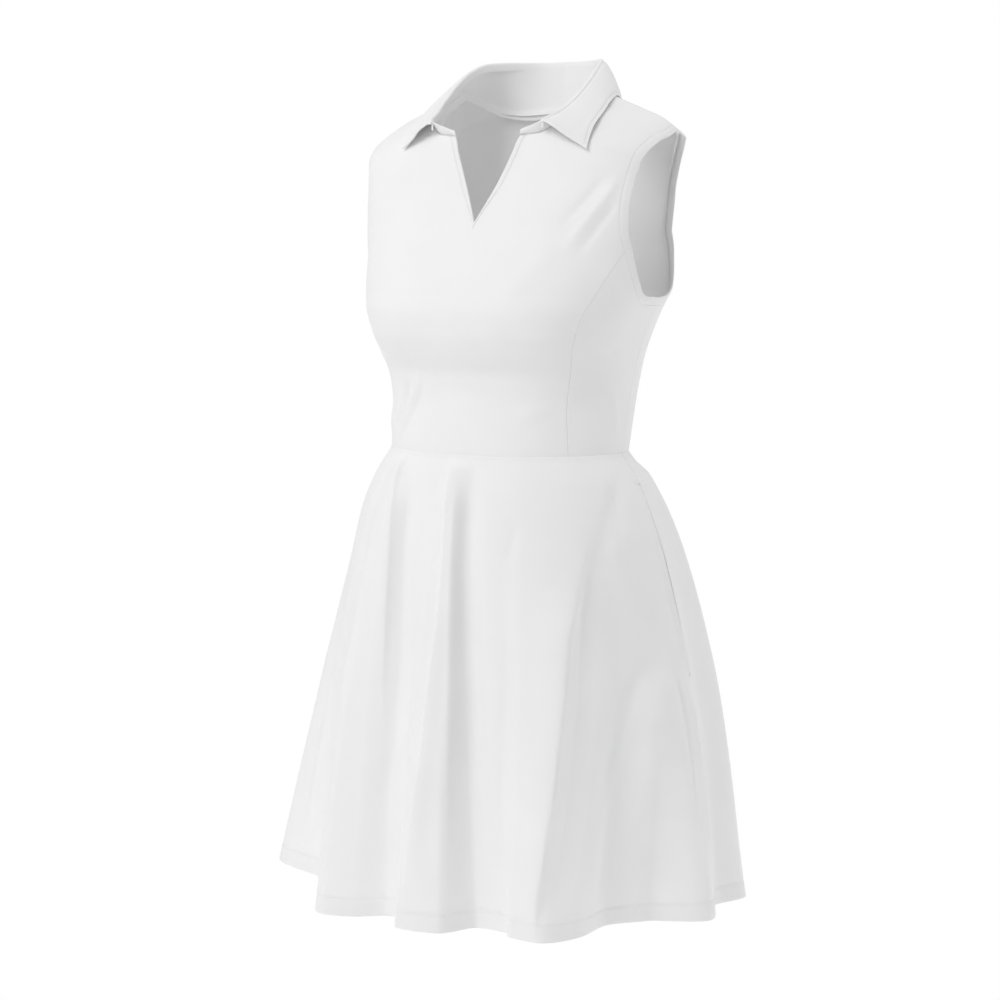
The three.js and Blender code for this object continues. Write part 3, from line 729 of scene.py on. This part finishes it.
# Every ridge, trough and place between, round the hem: hem and waist are degrees from centre front,
# radius is mm from the skirt's axis at the hem, start is how far down it begins.
frontFolds = [
    (-98, -93, 271, 60), (-84, -82, 288, 70), (-67, -66, 213, 60), (-54, -50, 193, 30), (-33, -34, 232, 0),
    (-25, -27, 210, 0), (-19, -20, 180, 0), (-14, -12, 174, 20), (-8, -3.5, 203, 0), (5, 0.5, 198, 20),
    (15, 6.5, 166, 0), (24, 18, 176, 30), (28, 26, 196, 30), (36, 49, 214, 30), (44, 55, 206, 40),
    (60, 63, 174, 80), (73, 72, 187, 120), (85.5, 83, 233, 150), (98, 93, 215, 60),
]
backFolds = [
    (98, 93, 215, 60), (109, 107, 239, 30), (122, 121, 189, 40), (136, 134, 230, 10), (150, 148, 177, 40),
    (163, 161, 210, 10), (174, 173, 181, 50), (187, 186, 218, 0), (199, 198, 183, 40), (212, 211, 214, 20),
    (226, 225, 189, 40), (239, 238, 244, 10), (251, 252, 212, 50), (262, 267, 271, 60),
]
allFolds = ([(hem - 360, waist - 360, radius, start) for hem, waist, radius, start in backFolds[-4:-1]]
            + frontFolds + backFolds[1:]
            + [(hem + 360, waist + 360, radius, start) for hem, waist, radius, start in frontFolds[1:4]])
foldCurves = curvesOf({name: [row[k] for row in allFolds]
                       for k, name in enumerate(("hem", "waist", "radius", "start"))})
skirtCurves = curvesOf(skirtShape)

# Crests (high above 0) and troughs down the cloth. Each spreads that many mm to its left and right,
# "wider" times as far at its end, rises and falls over those shares of its length, and follows its path
# of (degrees at the hem, mm below the waist). A side under 8 mm is creased, the others are soft.
# (high, left, right, wider, rise, fall, path)
skirtCreases = [
    (5.2, 20, 5.5, 1, 0.04, 0.5,
     [(-31.5, 3), (-28.5, 20), (-23.5, 68), (-22, 120), (-21, 200), (-20.5, 300)]),
    (-6.4, 10, 22, 1, 0.12, 0.45, [(-20, 20), (-18, 128), (-17, 208), (-18, 290), (-21, 400)]),
    (6.0, 4.5, 22, 1, 0.03, 0.3,
     [(-7, 2), (-1, 50), (1.5, 102), (1, 154), (-1, 206), (-3, 290), (-5, 360), (-7, 465)]),
    (2.2, 5, 8, 1, 0.12, 0.45, [(5, 20), (6.5, 100), (6.5, 200), (7, 300), (8, 420)]),
    (-6.2, 15, 14, 1, 0.12, 0.45, [(12, 12), (13.5, 100), (14, 200), (16, 300), (18, 410)]),
    (6.8, 36, 5, 1, 0.3, 0.12, [(42, 60), (37, 126), (34.5, 180), (34, 330), (33, 465)]),
    (-6.6, 12, 32, 1, 0.25, 0.2, [(44, 90), (39.5, 150), (38.5, 330), (38, 455)]),
    (-2.7, 13, 18, 1, 0.2, 0.35, [(84, 8), (69, 42), (56, 72), (47, 98), (42, 126), (39, 170)]),
    (6.4, 17, 22, 1.9, 0.14, 0.55, [(77, 200), (73, 280), (68, 380), (66, 440)]),
    (-3.0, 18, 11, 1, 0.2, 0.5, [(69, 202), (60, 268), (54, 306), (48, 380)]),
    (-3.2, 8.5, 5, 1, 0.15, 0.5, [(78, 204), (82, 225), (83.5, 260), (84, 354), (85, 430)]),
    (2.4, 5, 12, 1, 0.15, 0.3, [(88, 230), (88, 300), (89, 450)]),
    (-1.2, 6, 9, 1, 0.35, 0.35, [(27, 62), (25, 104)]),
    (-1.8, 8.5, 10, 1, 0.35, 0.35, [(70, 26), (68, 78)]),
    (3.2, 5, 14, 1, 0.6, 0.1, [(27, 330), (26.5, 480)]),
    (2.8, 5, 12, 1, 0.1, 0.2,
     [(-48, 8), (-48, 66), (-54, 114), (-60, 164), (-65, 214), (-71, 270), (-74, 450)]),
    (-2.4, 12, 13, 1, 0.3, 0.35, [(-41, 30), (-44, 200), (-46, 330)]),
    (2.2, 16, 13, 1, 0.35, 0.2, [(-36, 180), (-33, 300), (-34, 460)]),
    (1.6, 12, 12, 1, 0.35, 0.35, [(6, 200), (5, 440)]),
    (1.4, 14, 14, 1, 0.35, 0.35, [(22, 150), (24, 380)]),
    (-1.8, 12, 16, 1, 0.35, 0.35, [(56, 300), (54, 455)]),
    (5.0, 22, 6, 1, 0.05, 0.5, [(109, 5), (112, 200), (109, 440)]),
    (-3.6, 14, 18, 1, 0.2, 0.5, [(121, 20), (123, 150), (121, 380)]),
    (5.2, 5, 24, 1, 0.05, 0.4, [(133, 3), (139, 160), (136, 464)]),
    (-4.2, 18, 12, 1, 0.2, 0.5, [(150, 40), (147, 230), (150, 420)]),
    (4.8, 18, 6, 1, 0.05, 0.6, [(164, 6), (160, 140), (162, 330)]),
    (-3.2, 12, 20, 1, 0.3, 0.3, [(172, 60), (176, 240), (174, 450)]),
    (5.8, 26, 5, 1, 0.04, 0.4, [(184, 2), (190, 170), (188, 464)]),
    (-3.6, 13, 16, 1, 0.2, 0.5, [(200, 30), (197, 200), (199, 360)]),
    (4.8, 6, 20, 1, 0.06, 0.5, [(211, 8), (209, 180), (213, 420)]),
    (-3.6, 18, 12, 1, 0.3, 0.4, [(226, 50), (224, 240), (226, 450)]),
    (5.4, 6, 22, 1, 0.04, 0.4, [(241, 3), (236, 200), (239, 462)]),
    (-3.6, 13, 15, 1, 0.2, 0.5, [(250, 30), (253, 180), (252, 380)]),
]
creaseTurns = []
for row in skirtCreases:
    turns, drops = zip(*row[-1])
    creaseTurns.append(curveThrough(drops, turns))


# the creases that cross one level: middle, its point there, height, and spread to the left and right
@lru_cache(maxsize=2000)
def creasesAt(drop):
    found = []
    for turnAt, (high, left, right, wider, rise, fall, path) in zip(creaseTurns, skirtCreases):
        top, bottom = path[0][1], path[-1][1]
        if top < drop < bottom:
            share = (drop - top) / (bottom - top)
            height = high * smooth(share, 0, rise) * (1 - smooth(share, 1 - fall, 1))
            turn, spread = turnAt(drop), mix(1, wider, share)
            found.append((turn, skirtPoint(turn, drop), height, left * spread, right * spread))
    return found


creaseReach = 26  # degrees
creasedUnder = 8  # mm of spread
creaseTip = 0.12  # how rounded a creased side is at its crest


def skirtLift(turn, drop, point):
    lift = 0
    for middle, there, high, left, right in creasesAt(drop):
        if abs(turn - middle) < creaseReach:
            spread = right if turn > middle else left
            away = (point - there).length / spread
            creased = 1.7 * (hypot(away, creaseTip) - creaseTip)
            lift += high * exp(-creased if spread < creasedUnder else -1.6 * away * away)
    return lift


@lru_cache(maxsize=2000)
def skirtSection(drop):
    section = {name: curve(drop) for name, curve in skirtCurves.items()}
    section["frontFull"] = section["backFull"] = section["full"]
    return section


@lru_cache(maxsize=20000)
def foldAt(hemTurn):
    radius = foldCurves["radius"](hemTurn)
    calm = sectionPoint(skirtSection(skirt["length"]), hemTurn)
    push = (radius * sin(radians(hemTurn)) - calm[0],
            skirt["axisY"] - radius * cos(radians(hemTurn)) - calm[1])
    return foldCurves["waist"](hemTurn), foldCurves["start"](hemTurn), push


def skirtPoint(hemTurn, drop):
    waist, start, push = foldAt(hemTurn)
    turn = mix(waist, hemTurn, drop / skirt["length"])
    grown = clamp((drop - start) / (skirt["length"] - start), 0, 1) ** skirt["growth"]
    x, y = sectionPoint(skirtSection(drop), turn)
    return Vector((x + push[0] * grown, y + push[1] * grown, waistLevel - drop))


def skirtOutward(hemTurn, drop):
    low, high = max(0, drop - 1), min(skirt["length"], drop + 1)
    around = skirtPoint(hemTurn + 0.4, drop) - skirtPoint(hemTurn - 0.4, drop)
    down = skirtPoint(hemTurn, low) - skirtPoint(hemTurn, high)
    out = around.cross(down).normalized()
    return -out if out.dot(Vector((sin(radians(hemTurn)), -cos(radians(hemTurn)), 0))) < 0 else out


pocket = {
    "top": 28,
    "bottom": 222,
    "gape": 3.4,
    "frontGape": 4.2,  # how much farther the front lip stands back from the seam
    "frontLift": 3.0,  # and out from the skirt, fading over "lipReach"
    "lipReach": (2, 22),
    "perDegree": 3.3,
    "seamTurn": 98,
    "bow": 7,  # degrees that the seam swings forward, over "bowLength"
    "bowLength": 290,
}


# how open the mouth is: it gapes most in its lower half
def mouthShare(drop):
    return sin(pi * clamp((drop - pocket["top"]) / (pocket["bottom"] - pocket["top"]), 0, 1) ** 2.1) ** 0.8


# rows below the waist: (drop, how deep behind the outer face); the cloth turns up inside at the hem
hemTurned = [(465.7, 0.15), (466.0, 0.7), (466.0, 1.4), (465.4, 1.9), (462, 2.1), (457, 2.15), (452, 2.1),
             (skirt["turnedTo"], 2.0)]
# distance from the hem's stitching: how deep it pulls the cloth in
stitchDip = {0: 0.34, -1.1: 0.22, 1.1: 0.22, -2.3: 0.03, 2.3: 0.03, 3.2: 0.0}


def skirtRows():
    rows = waistRoll[:-1] + [(mix(2.2, 442, k / 84), 0.0) for k in range(85)]
    rows += [(skirt["stitchRow"] + at, deep) for at, deep in sorted(stitchDip.items())]
    rows += [(455, 0.0), (459, 0.0), (463, 0.0), (465, 0.02)]
    return rows + hemTurned


# seam edges of a skirt panel: mm from the edge and mm turned in
skirtRoll = [(-0.1, 8.0), (-0.1, 4.0), (-0.1, 1.0), (0.05, 0.35), (0.4, 0.08), (1.1, 0.0)]


# Where the side seam runs: it bows forward at the pocket mouth.
def sideTurn(drop):
    return pocket["seamTurn"] - pocket["bow"] * sin(pi * clamp(drop / pocket["bowLength"], 0, 1))


# the turn at a distance in mm from a panel's side edge, on the wearer's left (1) or right (-1)
def turnFromEdge(side, drop, distance, isFront):
    seam = side * sideTurn(drop)
    into = -side if isFront else side
    pace = (skirtPoint(seam + into, drop) - skirtPoint(seam, drop)).length
    widest = pocket["gape"] / 2 - skirt["seamGap"] + (pocket["frontGape"] if isFront else 0)
    opening = skirt["seamGap"] + widest * mouthShare(drop)
    return seam + into * (opening + distance) / pace


# A place on the skirt's cloth; the front lips of the pocket mouths stand out a little.
def skirtSpot(turn, drop, deep=0.0, isFront=False):
    point, out = skirtPoint(turn, drop), skirtOutward(turn, drop)
    lift = skirtLift(turn, drop, point) * smooth(drop, 1, 12)
    if isFront:
        fromEdge = (sideTurn(drop) - abs(turn)) * pocket["perDegree"]
        lift += pocket["frontLift"] * mouthShare(drop) * (1 - smooth(fromEdge, *pocket["lipReach"]))
    return point + out * (lift - deep), out


def skirtPanel(name, folds, perSpan):
    isFront = folds is frontFolds
    first, last = folds[0][0], folds[-1][0]
    count = round((last - first) * perSpan)
    points, lengths, rows = [], [], skirtRows()
    for drop, deepRow in rows:
        sides = [(-1, 0), (1, 0)] if isFront else [(1, 0), (-1, 360)]
        edges = [[(whole + turnFromEdge(side, drop, at, isFront), deep) for at, deep in skirtRoll]
                 for side, whole in sides]
        low, high = edges[0][-1][0], edges[1][-1][0]
        inner = [(mix(low, high, k / count), 0.0) for k in range(1, count)]
        line = [skirtSpot(turn, drop, turnedIn(deep, deepRow), isFront)[0]
                for turn, deep in edges[0] + inner + edges[1][::-1]]
        run = runOf(line)
        points.append(line)
        lengths.append([at - run[-1] / 2 for at in run])
    down = runOf([row[len(row) // 2] for row in points])
    return clothSheet(name, points, lambda row, column: (lengths[row][column], -down[row]))


finishSheet(skirtPanel("skirt_front_cloth", frontFolds, 2.1), "skirt_front")
finishSheet(skirtPanel("skirt_back_cloth", backFolds, 2.4), "skirt_back")
print("skirt is made")

# Binding of the V: share of the width from the seam to the edge, and height over the body
bindingProfile = [(0.0, -2.6), (0.0, -0.4), (0.03, -0.1), (0.1, 0.06), (0.3, 0.24), (0.6, 0.34), (0.85, 0.27),
                  (0.96, 0.08), (1.0, -0.5), (0.96, -1.1), (0.8, -1.4), (0.4, -1.6), (0.0, -1.8)]


def bindingPlace(t, share, height):
    edgeLevel = mix(vDepthLevel, vCornerLevel, t)
    seamLevel = mix(bindingLevel, vCornerLevel, t)
    level = mix(seamLevel, edgeLevel, share)
    x = mix(panelNeckX(seamLevel) if t > 0 else 0, frontNeckX(edgeLevel), share)
    turn = turnAcross(level, x, True)
    out = bodiceOutward(level, turn)
    return bodicePoint(level, turn) + out * height, out


def bindingHalf(side):
    width, count = binding["width"] * side, binding["rows"]
    rows = [[mirrored(bindingPlace(k / count, share, height)[0], side) for share, height in bindingProfile]
            for k in range(count + 1)]
    return clothSheet("v_binding_cloth", rows,
                      lambda row, column: (bindingProfile[column][0] * width, row * binding["rowPitch"]),
                      wall=0.45)


vHalves = [bindingHalf(side) for side in (1, -1)]
finishSheet(joined(*vHalves), "v_binding", middle=Vector((0, 0, -0.06)))
vLine = [bindingPlace(k / binding["rows"], 0.2, 0.5) for k in range(2, binding["rows"] + 1)]
vLines = [[(mirrored(p, side), mirrored(out, side)) for p, out in vLine] for side in (1, -1)]
stitchLine("v_stitches", vLines, length=2.0, pitch=2.8, width=0.34)
print("binding of the V is made")

# Along half the collar from the V round to centre back: the roll line at its top, and the leaf's edge.
collarRoll = {
    "along": [0, 0.07, 0.14, 0.26, 0.37, 0.48, 0.6, 0.72, 0.84, 0.93, 1],
    "x": [38, 51, 63, 71, 75, 76, 73, 65, 46, 22, 0],
    "y": [-87, -89, -89, -64, -41, -19, 5, 30, 57, 73, 77],
    "z": [-24, -20, -16, -4, 10, 25, 40, 49, 51, 51, 51],
}
leafEdge = {
    "along": [0.14, 0.26, 0.37, 0.48, 0.6, 0.72, 0.84, 0.93, 1],
    "x": [111, 110, 108, 104, 99, 88, 62, 31, 0],
    "y": [-86, -66, -41, -17, 8, 39, 68, 81, 85],
    "z": [-43.5, -19.5, -5, 7, 13.5, 9, 5, 3, 3],
}
collar = {
    "leafStart": 0.14,
    "clearance": 3.4,
    "bulge": 4.0,
    "turnOver": 2.2,  # radius of the roll
    "insideTurn": 7.0,  # how far the leaf's cloth comes down inside the stand
    "stitchFromEdge": 4.0,
    "stitchDip": 0.35,
    "rightNarrower": 9,
    "edgeRest": 1.8,  # its edges sink to the shoulders
    "wall": 1.5,
    "softEdge": 0.5,
    "standInside": 0.9,  # its seam allowance goes down inside the bodice
    "allowance": 22,
    "standRows": 150,
    "leafRows": 110,
}
rollCurves, edgeCurves = curvesOf(collarRoll), curvesOf(leafEdge)

neckSteps = 80
neckLine = []
for k in range(neckSteps + 1):
    level = mix(vCornerLevel, shoulderLevel, k / neckSteps)
    neckLine.append(bodicePoint(level, turnAcross(level, frontNeckX(level), True)))
for k in range(1, neckSteps + 1):
    level = mix(shoulderLevel, 0, k / neckSteps)
    turn = 180 if k == neckSteps else turnAcross(level, backNeckX(level), False)
    neckLine.append(bodicePoint(level, turn))
neckRun = runOf(neckLine)


def neckSeam(along):
    at = along * neckRun[-1]
    k = clamp(bisect_right(neckRun, at) - 1, 0, len(neckLine) - 2)
    return neckLine[k].lerp(neckLine[k + 1], (at - neckRun[k]) / (neckRun[k + 1] - neckRun[k]))


def rollPoint(along):
    return Vector([rollCurves[axis](along) for axis in "xyz"])


def awayFrom(along):
    ahead, behind = rollPoint(min(1, along + 0.02)), rollPoint(max(0, along - 0.02))
    return Vector((ahead.y - behind.y, behind.x - ahead.x, 0)).normalized()


# The same place on the right side of the collar, whose point lies a little narrower.
def onRight(place):
    pull = collar["rightNarrower"] * smooth(-place.y, 20, 80) * smooth(place.x, 74, 112)
    return Vector((pull - place.x, place.y, place.z + 0.35 * pull))


# both halves of a collar piece in one sheet, from the wearer's left round the back to the right
def collarSheet(name, places, across, pointAt):
    left = [[pointAt(along, step) for step in across] for along in places]
    right = [[onRight(p) for p in row] for row in left[-2::-1]]
    run = runOf([rollPoint(along) for along in places])
    run += [2 * run[-1] - at for at in run[-2::-1]]
    down = runOf(left[len(left) // 2])
    return clothSheet(name, left + right, lambda row, column: (run[row], -down[column]),
                      wall=collar["wall"], rim=collar["softEdge"])


standPlaces = [k / collar["standRows"] for k in range(collar["standRows"] + 1)]
standSteps = [-0.34, -0.2, -0.08, 0.0, 0.03, 0.06] + [0.06 + 0.9 * k / 14 for k in range(1, 15)]


def standPoint(along, share):
    seam, roll = neckSeam(along), rollPoint(along)
    rise = roll - seam
    away = awayFrom(along)
    if share < 0.02:
        inside = mix(collar["standInside"], 1.2, smooth(-share, 0, 0.3))
        return seam - away * inside + Vector((0, 0, share * collar["allowance"]))
    return seam + rise * share + away * (0.9 * sin(pi * share) + 0.2 - 0.8 * smooth(0.06 - share, 0, 0.06))


finishSheet(collarSheet("collar_stand_cloth", standPlaces, standSteps, standPoint),
            "collar_stand")


# mm from the leaf's outer edge, back to the roll
edgeDistances = [0, 0.8, 1.8, 2.7, 3.3, 3.7, 4.0, 4.3, 4.7, 5.3, 6.3]
leafSteps = [("inside", 1.0), ("inside", 0.6), ("inside", 0.25), ("inside", 0.06)]
leafSteps += [("turn", k / 9) for k in range(10)]
leafSteps += [("leaf", k / 16) for k in range(1, 17)]
leafSteps += [("edge", at) for at in edgeDistances[::-1]]


def stitchDipAt(distance):
    return collar["stitchDip"] * exp(-((distance - collar["stitchFromEdge"]) / 0.8) ** 2)


def leafPlace(along, share):
    roll = rollPoint(along)
    edge = Vector([edgeCurves[axis](along) for axis in "xyz"])
    stand = collar["clearance"] + collar["bulge"] * sin(pi * share)
    point = roll.lerp(edge, share) + awayFrom(along) * stand * (1 - share)
    point.z += 1.2 * min(1, share / 0.06) * (1 - share)
    return point, (edge - roll).length


def leafPoint(along, step):
    kind, at = step
    roll, away = rollPoint(along), awayFrom(along)
    radius = collar["turnOver"]
    if kind == "inside":
        return roll - away * 0.9 - Vector((0, 0, 1.0 + at * collar["insideTurn"]))
    if kind == "turn":
        angle = pi * (1 - at)
        return roll + away * (radius - 0.9 + radius * cos(angle)) + Vector((0, 0, radius * sin(angle) - 1.0))
    length = leafPlace(along, 0)[1]
    share = 1 - at / length if kind == "edge" else mix(0.02, 1 - edgeDistances[-1] / length, at)
    point = leafPlace(along, share)[0]
    fromEdge = (1 - share) * length
    fromFront = (point - leafPlace(collar["leafStart"], share)[0]).length
    up = (Vector((0, 0, 1)) + away * 1.2).normalized()
    corner = smooth(34 - fromFront, 0, 34) * smooth(30 - fromEdge, 0, 30)  # the point lifts a little
    nearFront = smooth(7 - fromFront, 0, 7) * smooth(share, 0.2, 0.6)
    rest = collar["edgeRest"] * max(smooth(9 - fromEdge, 0, 9), nearFront)
    return point + up * (corner - rest - max(stitchDipAt(fromEdge), stitchDipAt(fromFront)))


# fine rows beside the front edge for its stitching, then even ones
leafPlaces = [collar["leafStart"] + at / neckRun[-1] for at in edgeDistances]
leafPlaces += [mix(leafPlaces[-1], 1, k / collar["leafRows"]) for k in range(1, collar["leafRows"] + 1)]
finishSheet(collarSheet("collar_leaf_cloth", leafPlaces, leafSteps, leafPoint),
            "collar_leaf")


def leafStitch(along, distance):
    up = (Vector((0, 0, 1)) + awayFrom(along) * 1.2).normalized()
    return leafPoint(along, ("edge", distance)), up


seamed = collar["stitchFromEdge"]
startAlong = collar["leafStart"] + seamed / neckRun[-1]
leftLine = [leafStitch(startAlong, mix(58, seamed, k / 30)) for k in range(31)]
leftLine += [leafStitch(mix(startAlong, 1, k / 120), seamed) for k in range(1, 121)]
flipped = [(onRight(p), mirrored(up, -1)) for p, up in leftLine]
stitchLine("collar_stitches", [leftLine + flipped[-2::-1]], length=2.2, pitch=3.0, width=0.36)
print("collar is made")

# outline of a bag in plan, from its front lip round to its back lip, in mm from the seam
bagOutline = {
    "place": [0, 1, 2, 3, 4, 5, 6, 7, 8, 9, 10],
    "forward": [3, 8, 16, 30, 30, 32, 28, 26, 8, 0, -3],
    "inward": [2.2, 7, 13, 16, 15, 19, 23, 25, 21, 12, 2.2],
    "stretch": [0, 0, 0, 0.5, 0.92, 1, 0.92, 0.5, 0, 0, 0],
}
bagRows = {
    "drop": [20, 28, 80, 140, 200, 222, 261, 275],
    "reach": [20, 34, 62, 72, 74, 70, 52, 36],
    "shut": [1, 0.2, 0, 0, 0, 0, 0.3, 1],
}
bag = {"lean": radians(52), "rows": 60, "columns": 60, "pitch": 3.2}
bagCurves, bagDepth = curvesOf(bagOutline), curvesOf(bagRows)


def pocketBag(side, word):
    rows = []
    top, bottom = bagRows["drop"][0], bagRows["drop"][-1]
    last = bagOutline["place"][-1]
    drops = [mix(top, bottom, k / bag["rows"]) for k in range(bag["rows"] + 1)]
    for drop in drops:
        seam = skirtPoint(side * sideTurn(drop), drop)
        outward = skirtOutward(side * sideTurn(drop), drop)
        outward.z = 0
        outward.normalize()
        ahead = Vector((outward.y, -outward.x, 0)) * side
        reach, shut = bagDepth["reach"](drop), bagDepth["shut"](drop)
        line = []
        for k in range(bag["columns"] + 1):
            place = last * k / bag["columns"]
            twin = last - place
            # where the bag is shut its two sides meet halfway
            forward = mix(bagCurves["forward"](place), bagCurves["forward"](twin), shut / 2)
            inward = mix(bagCurves["inward"](place), bagCurves["inward"](twin), shut / 2)
            forward += pocket["frontGape"] * mouthShare(drop) * (1 - smooth(place, 0, 3))
            far = bagCurves["stretch"](place) * reach
            point = seam + ahead * forward - outward * (inward + 3 * shut)
            line.append(point + Vector((-side * far * sin(bag["lean"]), -far * cos(bag["lean"]), 0)))
        rows.append(line)
    middle = sum((p for row in rows for p in row), Vector()) / (len(rows) * len(line)) * mm
    made = clothSheet("pocket_bag_cloth_" + word, rows,
                      lambda row, column: (column * bag["pitch"], -drops[row]), wall=0.5)
    finishSheet(made, "pocket_bag_" + word, middle=middle)


pocketBag(1, "left")
pocketBag(-1, "right")

# two rows of coverstitch round the hem, two beside each pocket mouth and a bar at both its ends
hemSteps = 320
hemLines = []
for folds in (frontFolds, backFolds):
    first, last = folds[0][0] + 0.6, folds[-1][0] - 0.6
    for apart in (-0.5, 0.5):
        drop = skirt["stitchRow"] + skirt["rowsApart"] * apart
        hemLines.append([skirtSpot(mix(first, last, k / hemSteps), drop, 0.22) for k in range(hemSteps + 1)])
stitchLine("hem_stitches", hemLines, length=2.8, pitch=3.9, width=0.42)

mouthLines, barLines = [], []
for side in (1, -1):
    for distance in (1.8, 6.5):
        drops = [mix(pocket["top"] + 2, pocket["bottom"] - 2, k / 100) for k in range(101)]
        mouthLines.append([skirtSpot(turnFromEdge(side, drop, distance, True), drop, -0.05, True)
                           for drop in drops])
    for drop in (pocket["top"] + 1, pocket["bottom"] - 1):
        for k in range(9):
            across = drop + mix(-1, 1, k / 8)
            barLines.append([skirtSpot(turnFromEdge(side, across, at, True), across, -0.25, True)
                             for at in (8, 5, 2, -1)])
stitchLine("pocket_stitches", mouthLines, length=2.3, pitch=3.1, width=0.4)
stitchLine("pocket_bars", barLines, length=3.0, pitch=1.5, width=0.4)

print("stitching is done")
